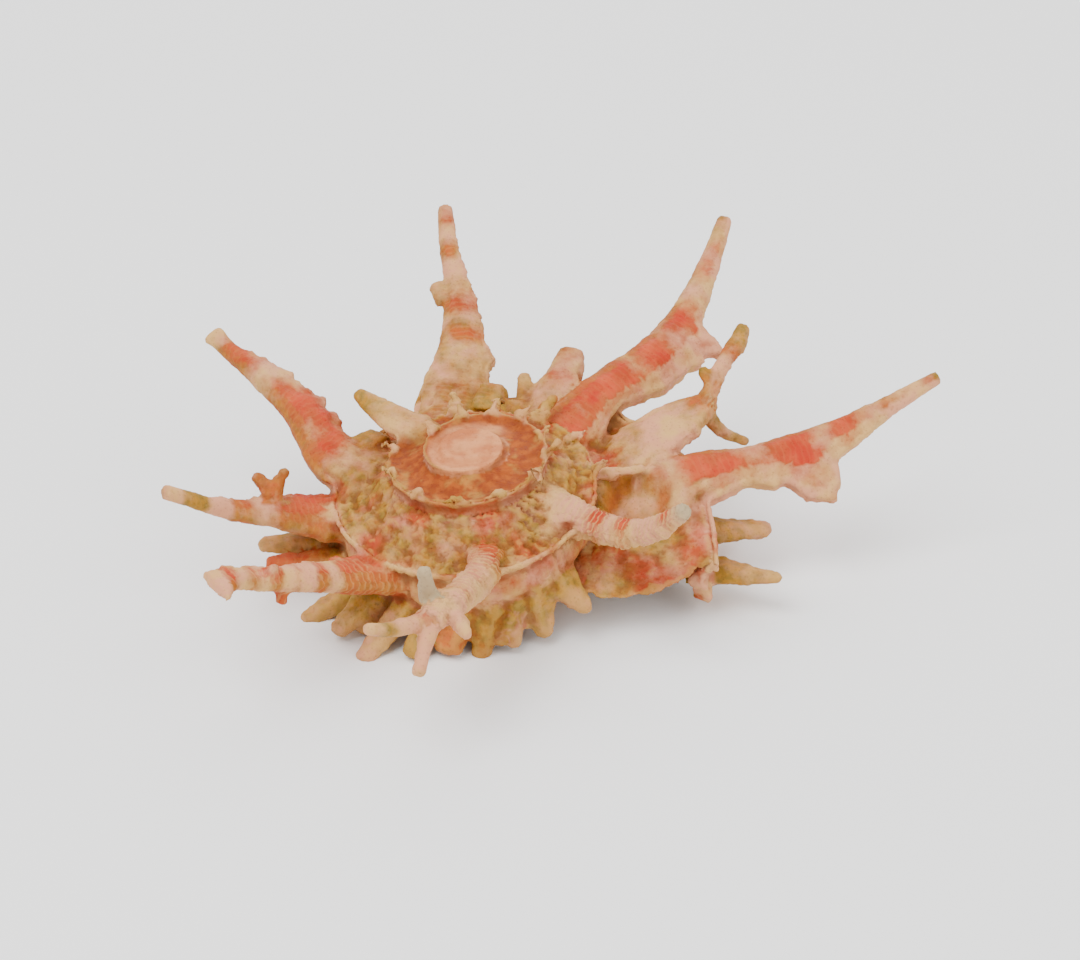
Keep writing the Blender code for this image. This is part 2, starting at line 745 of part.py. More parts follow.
def main():
    """Build the shell."""
    clear_scene()
    shell = build_growth()
    hollow = build_hollow()
    floor = build_floor()
    voxel_skin(shell)
    ease = shell.modifiers.new("ease", "SMOOTH")
    ease.factor = 0.5
    ease.iterations = SMOOTH_STEPS
    carve(shell, hollow)
    voxel_skin(shell)
    settle_modifiers(shell)
    keep_largest_body(shell)
    press_bowl(shell)
    add_material(shell)
    facets = shell.modifiers.new("facets", "DECIMATE")
    facets.ratio = FACE_RATIO
    facets.use_collapse_triangulate = True
    carve(shell, floor)


main()
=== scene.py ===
"""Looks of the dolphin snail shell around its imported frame.

The shell is grown in code from its coil, its keel spines and its short spines,
skinned as one surface, roughened with the growth relief of the real shell and
dressed with an outer finish and a pearly lining. Lengths in the tables are
millimetres, measured from the coil axis and the table under the shell.
"""
from __future__ import annotations

import logging
import math
from dataclasses import dataclass, field
from enum import Enum

import bmesh
import bpy
import numpy as np
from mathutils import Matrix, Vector, kdtree, noise

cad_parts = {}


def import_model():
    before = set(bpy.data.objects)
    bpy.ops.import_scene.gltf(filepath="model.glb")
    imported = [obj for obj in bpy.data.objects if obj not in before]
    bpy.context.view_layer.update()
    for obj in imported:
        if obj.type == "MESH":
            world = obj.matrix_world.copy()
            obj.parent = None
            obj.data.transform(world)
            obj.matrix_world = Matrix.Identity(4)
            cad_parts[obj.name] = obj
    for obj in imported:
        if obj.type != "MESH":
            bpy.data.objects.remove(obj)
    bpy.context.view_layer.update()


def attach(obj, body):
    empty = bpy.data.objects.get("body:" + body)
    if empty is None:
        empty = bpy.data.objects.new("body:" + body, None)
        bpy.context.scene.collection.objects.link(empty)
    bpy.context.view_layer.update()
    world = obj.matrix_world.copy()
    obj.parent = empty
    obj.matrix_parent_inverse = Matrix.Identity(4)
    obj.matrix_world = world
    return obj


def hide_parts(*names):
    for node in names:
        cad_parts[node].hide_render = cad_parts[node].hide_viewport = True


MM = 0.001
LOG = logging.getLogger("dolphin_snail_shell")
Array = np.ndarray


class Tint(Enum):
    """Shares of coral, cream, ochre and chalk white in the colours of the spines."""

    CORAL = (1.0, 0.0, 0.1, 0.0)
    SALMON = (0.62, 0.35, 0.2, 0.0)
    ROSE = (0.50, 0.62, 0.0, 0.1)
    CREAM = (0.08, 0.95, 0.1, 0.0)
    STRAW = (0.0, 0.55, 0.80, 0.0)
    OCHRE = (0.0, 0.10, 1.0, 0.0)
    RUST = (0.75, 0.0, 0.8, 0.0)
    TAN = (0.15, 0.25, 0.45, 0.0)
    CHALK = (0.0, 0.60, 0.0, 0.9)


def smoothstep(value: Array | float) -> Array:
    """Ease a value from 0 to 1."""
    clipped = np.clip(value, 0.0, 1.0)
    return clipped * clipped * (3.0 - 2.0 * clipped)


@dataclass(frozen=True)
class Coil:
    """The coiled tube of the shell and where its surface lies."""

    keel_radius: float = 19.4
    whorl_growth: float = 1.64
    lip_azimuth: float = -18.0
    lip_start: float = 0.04
    turns: float = 4.6
    rings_per_turn: int = 150
    flare: float = 0.25
    flare_turns: float = 0.30
    apex_height: float = 17.0
    tilt_to_viewer: float = 5.0
    tilt_to_left: float = 4.0
    lip_droop: float = 0.46
    lip_slant: float = 0.15
    lip_reach: float = 0.070
    disk_narrowing: float = 0.17
    disk_shift: float = 0.85
    hollow_scale: float = 0.78
    hollow_turns: float = 0.72
    keel_turns: tuple[float, ...] = (
        -0.10, 0.0, 0.08, 0.14, 0.36, 0.80, 1.00, 1.30, 1.60, 1.90, 2.40, 3.40,
    )
    keel_drops: tuple[float, ...] = (
        7.9, 7.4, 6.6, 6.1, 5.6, 5.8, 4.6, 2.9, 1.6, 0.9, 0.35, 0.0,
    )
    section: tuple[tuple[float, float, float], ...] = (
        (0.50, -0.09, 1.00),
        (0.60, -0.11, 0.92),
        (0.68, -0.10, 0.66),
        (0.76, -0.085, 0.42),
        (0.84, -0.065, 0.20),
        (0.91, -0.035, 0.06),
        (0.96, 0.005, 0.0),
        (0.99, 0.010, 0.0),
        (1.00, -0.020, 0.0),
        (0.985, -0.055, 0.0),
        (0.945, -0.085, 0.0),
        (0.925, -0.13, 0.0),
        (0.945, -0.20, 0.0),
        (0.955, -0.28, 0.0),
        (0.935, -0.36, 0.0),
        (0.88, -0.44, 0.0),
        (0.79, -0.52, 0.0),
        (0.67, -0.575, 0.0),
        (0.54, -0.575, 0.0),
        (0.42, -0.52, 0.0),
        (0.33, -0.42, 0.0),
        (0.29, -0.29, 0.0),
        (0.31, -0.15, 0.35),
        (0.39, -0.09, 0.80),
    )

    def radius_at(self, turn: Array) -> Array:
        """Radius of the keel.

        Args:
            turn: Turns before the lip.

        Returns:
            Millimetres from the coil axis.
        """
        widening = np.clip((self.flare_turns - turn) / self.flare_turns, 0.0, 1.5) ** 1.5
        narrowing = self.disk_narrowing * smoothstep((turn - 2.2) / 0.4)
        plain = self.keel_radius * self.whorl_growth ** (-turn)
        return plain * (1.0 + self.flare * widening - narrowing)

    def drop_at(self, turn: Array) -> Array:
        """Depth of the keel under the apex at the given turns."""
        return np.interp(turn, self.keel_turns, self.keel_drops)

    def tilt(self, points: Array) -> Array:
        """Lean the coil and lift its apex to its height over the table.

        Args:
            points: Points with the coil axis upright and the apex at zero.

        Returns:
            The points over the table.
        """
        nod = math.radians(self.tilt_to_viewer)
        lean = math.radians(-self.tilt_to_left)
        side = np.array((
            (math.cos(lean), 0.0, math.sin(lean)),
            (0.0, 1.0, 0.0),
            (-math.sin(lean), 0.0, math.cos(lean)),
        ))
        front = np.array((
            (1.0, 0.0, 0.0),
            (0.0, math.cos(nod), -math.sin(nod)),
            (0.0, math.sin(nod), math.cos(nod)),
        ))
        return points @ (front @ side).T + np.array((0.0, 0.0, self.apex_height))

    def surface(self, radial: Array, height: Array, rise: Array, turn: Array) -> Array:
        """Points of the whorl surface.

        Args:
            radial: Radius as a part of the keel radius.
            height: Height over the keel as a part of the keel radius.
            rise: Share of the climb to the suture above.
            turn: Turns before the lip.

        Returns:
            Points over the table in millimetres.
        """
        radius = self.radius_at(turn)
        drop = self.drop_at(turn)
        climb = drop - self.drop_at(turn + 1.0)
        angle = np.radians(self.lip_azimuth + 360.0 * turn)
        reach = radial * radius
        level = -drop + height * radius + rise * climb
        shift = self.disk_shift * smoothstep((turn - 2.2) / 0.5)
        points = np.stack((reach * np.cos(angle) - shift, reach * np.sin(angle), level), axis=-1)
        placed = self.tilt(points)
        droop = 1.0 - self.lip_droop * smoothstep((0.10 - turn) / 0.17)
        placed[..., 2] = placed[..., 2] * droop
        return placed

    def lag(self, radial: Array, height: Array) -> Array:
        """How far each place of the growing edge runs behind the keel, in turns."""
        below = smoothstep((-height - 0.30) / 0.27)
        inner = np.clip((0.95 - radial) / 0.45, 0.0, 1.0)
        inner = inner * np.clip((height + 0.40) / 0.20, 0.0, 1.0)
        return -0.04 + self.lip_slant * below - self.lip_reach * inner

    def rings(self, scale: float, first: float, last: float) -> tuple[Array, Array, Array]:
        """Rings of the coil, or with a smaller scale of its hollow.

        Args:
            scale: Size of the section round its middle.
            first: Turns before the lip at the first ring.
            last: Turns before the lip at the last ring.

        Returns:
            Ring points, the turn of each point and its place along the section.
        """
        base = np.array(self.section)
        closed = np.vstack((base, base[:1]))
        fine = np.linspace(0.0, len(base), 2 * len(base), endpoint=False)
        columns = [np.interp(fine, np.arange(len(closed)), closed[:, k]) for k in range(3)]
        section = np.stack(columns, axis=-1)
        centre = np.array((0.63, -0.27, 0.25))
        section = centre + (section - centre) * scale
        lag = self.lag(section[:, 0], section[:, 1])
        count = int(round((last - first) * self.rings_per_turn)) + 1
        turns = np.linspace(first, last, count)[:, None] + lag[None, :]
        shape = turns.shape
        points = self.surface(
            np.broadcast_to(section[:, 0], shape),
            np.broadcast_to(section[:, 1], shape),
            np.broadcast_to(section[:, 2], shape),
            turns,
        )
        across = np.broadcast_to(fine / len(base), shape)
        return points, turns, across


@dataclass(frozen=True)
class LongSpine:
    """A gutter-shaped spine: path rows are x, y, z, older width, growing width, half thickness."""

    azimuth: float
    path: tuple[tuple[float, ...], ...]
    roll: float = 0.0
    teeth: tuple[tuple[float, int, float, float], ...] = ()
    groove: float = 0.15
    ringed: float = 0.3
    pale_edge: float = 0.3
    frilled: float = 0.6
    tints: tuple[tuple[float, Tint], ...] = ((0.0, Tint.CORAL), (0.6, Tint.ROSE), (1.0, Tint.STRAW))

    def bend(self, count: int) -> tuple[Array, Array]:
        """Resample the path along a smooth curve.

        Args:
            count: Number of samples.

        Returns:
            Places along the spine from 0 to 1, and a row for each.
        """
        rows = np.array(self.path, dtype=float)
        steps = np.linalg.norm(np.diff(rows[:, :3], axis=0), axis=1)
        places = np.concatenate(((0.0,), np.cumsum(steps)))
        places = places / places[-1]
        slopes = np.gradient(rows, places, axis=0)
        samples = np.linspace(0.0, 1.0, count)
        out = np.empty((count, rows.shape[1]))
        for index, place in enumerate(samples):
            left = min(int(np.searchsorted(places, place, side="right")) - 1, len(places) - 2)
            span = places[left + 1] - places[left]
            part = (place - places[left]) / span
            square = part * part
            cube = square * part
            out[index] = (
                (2.0 * cube - 3.0 * square + 1.0) * rows[left]
                + (cube - 2.0 * square + part) * span * slopes[left]
                + (3.0 * square - 2.0 * cube) * rows[left + 1]
                + (cube - square) * span * slopes[left + 1]
            )
        return samples, out

    @staticmethod
    def gutter(older: float, growing: float, half: float, groove: float) -> Array:
        """Section of the spine: a rounded back and two edges with a groove between."""
        return np.array((
            (-older, 0.0),
            (-0.80 * older, 0.58 * half),
            (-0.35 * older, 0.94 * half),
            (0.20 * growing, 0.98 * half),
            (0.60 * growing, 0.80 * half),
            (0.96 * growing, 0.50 * half),
            (0.97 * growing, 0.24 * half),
            ((1.0 - groove) * growing, 0.0),
            (0.97 * growing, -0.24 * half),
            (0.96 * growing, -0.50 * half),
            (0.60 * growing, -0.80 * half),
            (0.20 * growing, -0.98 * half),
            (-0.35 * older, -0.94 * half),
            (-0.80 * older, -0.58 * half),
        ))

    def length(self) -> float:
        """Length of the path in millimetres."""
        return sum(math.dist(a[:3], b[:3]) for a, b in zip(self.path[:-1], self.path[1:]))

    def rings(self, spacing: float = 0.30) -> tuple[Array, Array, Array]:
        """Rings of the spine.

        Args:
            spacing: Distance between rings in millimetres.

        Returns:
            Ring points, the reach of each ring from 0 to 1, and the side of each
            section point from -1 on the older edge to 1 on the growing edge.
        """
        angle = math.radians(self.azimuth)
        growth = np.array((math.sin(angle), -math.cos(angle), 0.0))
        roll = math.radians(self.roll)
        samples, rows = self.bend(max(10, int(self.length() / spacing)))
        tangents = np.gradient(rows[:, :3], axis=0)
        rings = []
        for place, row, tangent in zip(samples, rows, tangents):
            forward = tangent / np.linalg.norm(tangent)
            level = growth - forward * np.dot(growth, forward)
            level = level / np.linalg.norm(level)
            downward = np.cross(forward, level)
            across = downward * math.cos(roll) - level * math.sin(roll)
            open_side = level * math.cos(roll) + downward * math.sin(roll)
            older = max(row[3], 0.4)
            growing = max(row[4], 0.4)
            half = max(row[5], 0.4)
            for tooth, side, height, width in self.teeth:
                bump = height * max(0.0, 1.0 - abs(place - tooth) / width)
                if side > 0:
                    growing = growing + bump
                else:
                    older = older + bump
            section = self.gutter(older, growing, half, self.groove)
            rings.append(row[:3] + section[:, :1] * open_side + section[:, 1:] * across)
        unit = self.gutter(1.0, 1.0, 1.0, self.groove)[:, 0]
        return np.array(rings), samples, unit


@dataclass(frozen=True)
class ShortSpine:
    """A small blunt spine between two points in millimetres."""

    root: tuple[float, float, float]
    tip: tuple[float, float, float]
    root_radius: float
    tip_radius: float
    curl: float = 0.0
    root_tint: Tint = Tint.TAN
    tip_tint: Tint = Tint.STRAW

    def rings(self) -> tuple[Array, Array]:
        """Rings of the spine.

        Returns:
            Ring points and the reach of each ring from 0 to 1.
        """
        root = np.array(self.root)
        tip = np.array(self.tip)
        forward = (tip - root) / np.linalg.norm(tip - root)
        side = np.cross(forward, (0.0, 0.0, 1.0))
        if np.linalg.norm(side) < 0.1:
            side = np.array((1.0, 0.0, 0.0))
        side = side / np.linalg.norm(side)
        over = np.cross(side, forward)
        places = np.array((0.0, 0.12, 0.25, 0.4, 0.5, 0.62, 0.75, 0.86, 0.94, 1.0))
        angles = np.linspace(0.0, math.tau, 20, endpoint=False)
        flutes = 1.0 + 0.10 * np.cos(5.0 * angles + 1.0)
        rings = []
        for place in places:
            radius = self.root_radius + (self.tip_radius - self.root_radius) * place
            if place == 1.0:
                radius = radius * 0.6
            centre = root + (tip - root) * place + over * (self.curl * (place * place - place))
            rings.append(
                centre
                + np.outer(np.cos(angles) * flutes * radius * 1.12, side)
                + np.outer(np.sin(angles) * flutes * radius * 0.88, over)
            )
        return np.array(rings), places


LONG_SPINES: dict[str, LongSpine] = {
    "northwest": LongSpine(
        azimuth=148.0,
        path=(
            (-9.0, 4.5, 9.6, 5.0, 5.0, 2.4),
            (-14.0, 7.0, 11.4, 3.7, 2.9, 1.9),
            (-18.0, 10.5, 14.4, 1.6, 2.9, 1.5),
            (-22.0, 14.0, 16.5, 1.0, 2.8, 1.2),
            (-25.3, 17.4, 17.8, 1.0, 0.9, 0.9),
            (-27.1, 19.2, 18.6, 1.0, 0.9, 0.75),
        ),
        teeth=(
            (0.38, 1, 0.6, 0.05),
            (0.47, 1, 1.0, 0.03),
            (0.99, -1, 0.5, 0.03),
        ),
        groove=0.22,
        ringed=0.15,
        pale_edge=0.35,
        tints=(
            (0.0, Tint.TAN), (0.14, Tint.TAN), (0.22, Tint.SALMON), (0.30, Tint.CORAL),
            (0.50, Tint.CORAL), (0.60, Tint.SALMON), (0.68, Tint.ROSE), (0.76, Tint.SALMON),
            (0.83, Tint.CORAL), (0.90, Tint.RUST), (0.95, Tint.ROSE), (1.0, Tint.CREAM),
        ),
    ),
    "west": LongSpine(
        azimuth=186.0,
        path=(
            (-11.0, 1.5, 7.4, 3.8, 3.4, 2.3),
            (-16.0, 0.5, 8.4, 3.0, 2.8, 1.8),
            (-20.0, -1.0, 9.9, 2.2, 1.8, 1.3),
            (-24.0, -3.0, 11.4, 1.1, 1.0, 1.0),
            (-27.8, -5.1, 14.0, 0.9, 0.8, 0.75),
            (-29.6, -6.1, 15.3, 0.9, 0.8, 0.7),
        ),
        teeth=((0.2, -1, 0.7, 0.05),),
        groove=0.22,
        ringed=0.2,
        pale_edge=0.2,
        tints=(
            (0.25, Tint.CORAL), (0.42, Tint.CORAL), (0.5, Tint.ROSE), (0.58, Tint.CORAL),
            (0.63, Tint.RUST), (0.68, Tint.CREAM), (0.75, Tint.CREAM), (0.8, Tint.OCHRE),
            (0.9, Tint.OCHRE), (0.94, Tint.CREAM), (1.0, Tint.STRAW),
        ),
    ),
    "southwest": LongSpine(
        azimuth=212.0,
        path=(
            (-7.5, -7.0, 6.8, 3.4, 3.2, 2.0),
            (-11.5, -10.0, 8.2, 2.3, 2.5, 1.6),
            (-15.5, -12.8, 9.8, 1.6, 1.8, 1.3),
            (-19.5, -15.2, 11.2, 1.4, 1.5, 1.1),
            (-22.4, -17.4, 12.5, 1.3, 1.9, 0.9),
            (-24.1, -18.5, 13.0, 3.9, 1.8, 0.6),
        ),
        teeth=(
            (0.3, 1, 0.8, 0.04),
            (0.77, 1, 0.8, 0.04),
            (0.88, 1, 0.9, 0.03),
        ),
        groove=0.3,
        ringed=0.7,
        pale_edge=0.2,
        tints=(
            (0.2, Tint.CORAL), (0.34, Tint.CORAL), (0.4, Tint.CREAM), (0.46, Tint.CORAL),
            (0.52, Tint.CREAM), (0.57, Tint.SALMON), (0.62, Tint.CREAM), (0.68, Tint.CORAL),
            (0.74, Tint.CREAM), (0.8, Tint.SALMON), (0.86, Tint.CREAM), (0.92, Tint.CORAL),
            (0.96, Tint.CREAM),
        ),
    ),
    "south": LongSpine(
        azimuth=262.0,
        path=(
            (1.2, -9.5, 10.0, 2.0, 2.2, 1.8),
            (0.9, -13.5, 10.8, 1.55, 1.6, 1.6),
            (-0.5, -17.0, 11.1, 1.5, 1.55, 1.5),
            (-2.5, -21.5, 12.2, 1.6, 1.7, 1.3),
            (-3.6, -24.6, 12.8, 1.2, 1.5, 1.1),
        ),
        groove=0.12,
        ringed=1.5,
        pale_edge=0.3,
        tints=(
            (0.0, Tint.CORAL), (0.3, Tint.SALMON), (0.5, Tint.ROSE), (0.65, Tint.SALMON),
            (0.78, Tint.CREAM), (1.0, Tint.CREAM),
        ),
    ),
    "south_arm_left": LongSpine(
        azimuth=262.0,
        path=(
            (-2.2, -21.5, 12.2, 1.2, 1.4, 1.0),
            (-5.0, -25.0, 12.8, 0.9, 1.1, 0.8),
            (-7.2, -27.2, 13.6, 0.8, 0.9, 0.7),
            (-9.2, -29.0, 14.9, 0.6, 0.7, 0.6),
        ),
        teeth=((0.55, 1, 0.7, 0.06),),
        ringed=0.2,
        pale_edge=0.5,
        tints=(
            (0.0, Tint.CREAM), (0.35, Tint.SALMON), (0.6, Tint.CREAM), (0.8, Tint.OCHRE),
            (1.0, Tint.CREAM),
        ),
    ),
    "south_arm_mid": LongSpine(
        azimuth=262.0,
        path=(
            (-3.2, -22.5, 12.3, 1.1, 1.3, 1.0),
            (-4.2, -25.8, 11.4, 0.9, 0.9, 0.8),
            (-4.7, -28.8, 9.8, 0.7, 0.7, 0.6),
        ),
        ringed=0.1,
        pale_edge=0.5,
        tints=(
            (0.0, Tint.CREAM), (0.5, Tint.CREAM), (1.0, Tint.STRAW),
        ),
    ),
    "south_arm_right": LongSpine(
        azimuth=262.0,
        path=(
            (-2.0, -21.5, 12.3, 1.0, 1.0, 0.9),
            (-1.0, -24.5, 12.5, 0.8, 0.8, 0.7),
            (-0.3, -26.6, 12.5, 0.5, 0.5, 0.5),
        ),
        ringed=0.1,
        pale_edge=0.5,
        tints=(
            (0.0, Tint.CREAM), (0.5, Tint.ROSE), (1.0, Tint.CREAM),
        ),
    ),
    "south_blade": LongSpine(
        azimuth=262.0,
        path=(
            (-3.0, -21.0, 11.4, 0.8, 1.2, 0.8),
            (-3.9, -21.6, 14.2, 0.8, 1.0, 0.7),
            (-4.2, -21.9, 16.8, 0.5, 0.8, 0.55),
        ),
        ringed=0.1,
        pale_edge=0.9,
        tints=(
            (0.0, Tint.CREAM), (0.4, Tint.CHALK), (1.0, Tint.CHALK),
        ),
    ),
    "southeast": LongSpine(
        azimuth=330.0,
        roll=30.0,
        path=(
            (4.5, -2.5, 12.6, 2.6, 3.6, 1.7),
            (8.0, -4.8, 12.8, 1.7, 2.5, 1.7),
            (12.0, -7.2, 12.2, 1.45, 1.7, 1.55),
            (15.6, -9.7, 13.0, 1.25, 1.4, 1.3),
            (18.6, -11.8, 15.8, 0.9, 1.0, 0.95),
            (19.8, -12.7, 17.4, 0.7, 0.8, 0.75),
        ),
        teeth=(
            (0.1, 1, 1.3, 0.05),
            (0.24, 1, 1.3, 0.05),
        ),
        groove=0.08,
        ringed=1.5,
        pale_edge=0.5,
        tints=(
            (0.0, Tint.SALMON), (0.15, Tint.ROSE), (0.3, Tint.CREAM), (0.4, Tint.SALMON),
            (0.46, Tint.CORAL), (0.52, Tint.CREAM), (0.6, Tint.CORAL), (0.66, Tint.CREAM),
            (0.8, Tint.CREAM), (0.88, Tint.CORAL), (0.93, Tint.ROSE), (0.99, Tint.CHALK),
        ),
    ),
    "east": LongSpine(
        azimuth=9.0,
        roll=38.0,
        path=(
            (12.5, 1.2, 8.4, 2.4, 2.8, 1.2),
            (17.0, 2.2, 10.0, 3.2, 3.8, 1.7),
            (21.5, 3.4, 11.5, 2.4, 3.6, 2.0),
            (26.5, 4.8, 12.2, 1.5, 2.7, 1.8),
            (32.0, 6.5, 12.8, 1.6, 3.2, 1.5),
            (36.4, 8.0, 14.2, 1.1, 2.4, 1.25),
            (40.0, 9.4, 15.7, 0.8, 1.5, 1.0),
            (46.0, 12.0, 17.7, 0.7, 0.7, 0.7),
        ),
        teeth=(
            (0.59, 1, 4.0, 0.045),
            (0.54, 1, 2.8, 0.045),
            (0.625, 1, 1.6, 0.02),
            (0.46, 1, 0.9, 0.06),
        ),
        groove=0.15,
        ringed=0.12,
        frilled=0.2,
        pale_edge=0.85,
        tints=(
            (0.0, Tint.TAN), (0.15, Tint.TAN), (0.21, Tint.ROSE), (0.26, Tint.CORAL),
            (0.36, Tint.CORAL), (0.45, Tint.SALMON), (0.52, Tint.CORAL), (0.58, Tint.CORAL),
            (0.63, Tint.ROSE), (0.68, Tint.CORAL), (0.74, Tint.SALMON), (0.78, Tint.ROSE),
            (0.83, Tint.RUST), (0.87, Tint.SALMON), (0.92, Tint.CREAM), (0.96, Tint.SALMON),
            (1.0, Tint.OCHRE),
        ),
    ),
    "northeast": LongSpine(
        azimuth=44.0,
        roll=28.0,
        path=(
            (8.5, 9.5, 11.4, 4.2, 4.0, 2.3),
            (12.5, 13.6, 14.0, 3.1, 2.0, 2.0),
            (17.3, 18.4, 15.7, 2.5, 3.5, 1.7),
            (21.1, 24.7, 17.3, 1.9, 2.0, 1.35),
            (24.0, 31.6, 20.4, 1.2, 1.2, 1.0),
            (25.8, 37.0, 23.0, 0.8, 0.9, 0.8),
        ),
        teeth=(
            (0.555, 1, 3.8, 0.045),
            (0.49, 1, 1.8, 0.05),
            (0.43, 1, 0.4, 0.05),
        ),
        groove=0.15,
        ringed=0.12,
        frilled=0.2,
        pale_edge=0.85,
        tints=(
            (0.0, Tint.CORAL), (0.26, Tint.CORAL), (0.32, Tint.SALMON), (0.40, Tint.CORAL),
            (0.48, Tint.SALMON), (0.56, Tint.CORAL), (0.62, Tint.SALMON), (0.70, Tint.ROSE),
            (0.78, Tint.SALMON), (0.87, Tint.SALMON), (0.94, Tint.TAN), (1.0, Tint.TAN),
        ),
    ),
    "north": LongSpine(
        azimuth=100.0,
        path=(
            (-2.8, 11.5, 10.4, 4.8, 5.0, 2.2),
            (-2.4, 16.6, 12.4, 4.1, 3.8, 1.9),
            (-2.0, 22.0, 15.6, 2.4, 2.8, 1.6),
            (-2.4, 28.0, 19.2, 1.5, 1.6, 1.2),
            (-3.4, 33.0, 22.4, 1.1, 1.0, 0.9),
            (-3.8, 36.7, 24.5, 0.9, 0.75, 0.8),
        ),
        teeth=(
            (0.2, 1, 0.9, 0.05),
            (0.36, 1, 0.9, 0.045),
        ),
        groove=0.25,
        ringed=0.3,
        pale_edge=0.3,
        tints=(
            (0.0, Tint.TAN), (0.24, Tint.TAN), (0.36, Tint.STRAW), (0.44, Tint.RUST),
            (0.5, Tint.STRAW), (0.58, Tint.CORAL), (0.66, Tint.STRAW), (0.74, Tint.CREAM),
            (0.8, Tint.RUST), (0.86, Tint.CREAM), (0.93, Tint.SALMON), (1.0, Tint.ROSE),
        ),
    ),
    "fork_stem": LongSpine(
        azimuth=26.0,
        path=(
            (13.0, 5.6, 10.4, 3.0, 3.4, 1.4),
            (17.3, 7.8, 12.9, 4.0, 3.8, 1.3),
            (20.9, 9.6, 14.5, 3.2, 2.6, 1.1),
            (23.4, 10.8, 15.8, 1.1, 1.1, 1.0),
        ),
        ringed=0.15,
        pale_edge=0.4,
        tints=(
            (0.0, Tint.TAN), (0.35, Tint.STRAW), (0.55, Tint.CREAM), (0.75, Tint.STRAW),
            (0.9, Tint.RUST), (1.0, Tint.STRAW),
        ),
    ),
    "fork_upper": LongSpine(
        azimuth=26.0,
        path=(
            (22.6, 10.2, 15.3, 1.1, 1.2, 1.0),
            (24.3, 13.3, 18.2, 0.8, 0.9, 0.8),
            (25.7, 15.4, 19.5, 0.7, 1.5, 0.8),
            (26.8, 17.2, 20.7, 0.7, 0.7, 0.7),
        ),
        teeth=((0.3, -1, 0.7, 0.06),),
        ringed=0.2,
        pale_edge=0.2,
        tints=(
            (0.0, Tint.RUST), (0.25, Tint.STRAW), (0.5, Tint.CREAM), (0.62, Tint.RUST),
            (0.8, Tint.OCHRE), (1.0, Tint.OCHRE),
        ),
    ),
    "fork_lower": LongSpine(
        azimuth=26.0,
        path=(
            (22.6, 10.2, 15.0, 1.0, 1.0, 0.9),
            (24.2, 10.6, 12.5, 0.7, 0.8, 0.7),
            (27.2, 11.6, 10.4, 0.5, 0.5, 0.5),
        ),
        ringed=0.2,
        pale_edge=0.2,
        tints=(
            (0.0, Tint.OCHRE), (0.5, Tint.STRAW), (1.0, Tint.OCHRE),
        ),
    ),
    "stub": LongSpine(
        azimuth=64.0,
        path=(
            (6.2, 11.5, 11.4, 2.9, 2.8, 2.0),
            (8.0, 15.2, 14.2, 2.2, 2.1, 1.6),
            (9.4, 19.4, 16.6, 1.3, 1.5, 1.1),
        ),
        teeth=((0.55, -1, 0.6, 0.1),),
        ringed=0.3,
        pale_edge=0.3,
        tints=(
            (0.0, Tint.TAN), (0.4, Tint.STRAW), (0.6, Tint.SALMON), (0.8, Tint.ROSE),
            (1.0, Tint.TAN),
        ),
    ),
    "inner_west": LongSpine(
        azimuth=135.0,
        path=(
            (-4.2, 5.2, 14.4, 2.0, 2.0, 1.2),
            (-7.4, 7.4, 15.1, 2.4, 1.9, 1.2),
            (-9.8, 9.4, 15.7, 1.7, 1.2, 0.9),
            (-12.1, 11.2, 16.4, 0.8, 0.6, 0.55),
        ),
        ringed=0.2,
        pale_edge=0.2,
        tints=(
            (0.0, Tint.TAN), (0.5, Tint.STRAW), (1.0, Tint.OCHRE),
        ),
    ),
    "west_frill": LongSpine(
        azimuth=270.0,
        path=(
            (-19.6, -1.0, 9.8, 1.2, 1.1, 0.9),
            (-19.8, -0.8, 11.4, 1.0, 1.0, 0.75),
            (-19.9, -0.6, 12.5, 1.4, 1.2, 0.7),
        ),
        ringed=0.2,
        pale_edge=0.2,
        tints=(
            (0.0, Tint.CORAL), (0.5, Tint.RUST), (1.0, Tint.RUST),
        ),
    ),
}

BARBS: tuple[ShortSpine, ...] = (
    ShortSpine((-3.4, 27.2, 18.4), (-5.0, 28.3, 19.8), 1.3, 0.7),
    ShortSpine((23.6, 11.6, 16.6), (22.3, 12.4, 18.6), 0.8, 0.5, 0.0, Tint.RUST, Tint.OCHRE),
    ShortSpine((5.2, 14.5, 12.0), (4.5, 16.6, 15.6), 1.2, 0.55),
    ShortSpine((-19.0, -15.2, 12.0), (-18.4, -15.6, 12.8), 0.8, 0.5, 0.0, Tint.CORAL, Tint.ROSE),
    ShortSpine((-25.9, 18.0, 18.1), (-26.6, 18.8, 19.6), 0.7, 0.45, 0.0, Tint.STRAW, Tint.CREAM),
    ShortSpine((-20.0, -0.6, 11.9), (-21.6, -0.4, 13.9), 0.85, 0.5, 0.0, Tint.RUST, Tint.TAN),
    ShortSpine((-19.7, -0.6, 11.9), (-18.5, -0.4, 14.3), 0.8, 0.5, 0.0, Tint.RUST, Tint.TAN),
    ShortSpine((-17.8, -14.2, 10.6), (-18.1, -14.9, 8.3), 0.75, 0.5, 0.0, Tint.RUST, Tint.RUST),
    ShortSpine((11.0, 2.0, 12.2), (16.6, 2.3, 12.9), 0.65, 0.44, 0.0, Tint.CREAM, Tint.CREAM),
    ShortSpine((1.0, 13.6, 12.4), (1.5, 16.2, 14.4), 2.0, 1.2, 0.0, Tint.OCHRE, Tint.TAN),
    ShortSpine((3.4, 13.0, 11.6), (3.7, 14.9, 13.2), 1.9, 1.4, 0.0, Tint.OCHRE, Tint.TAN),
    ShortSpine((-10.0, 8.0, 11.2), (-11.9, 10.0, 11.9), 2.1, 1.2, 0.0, Tint.TAN, Tint.OCHRE),
)

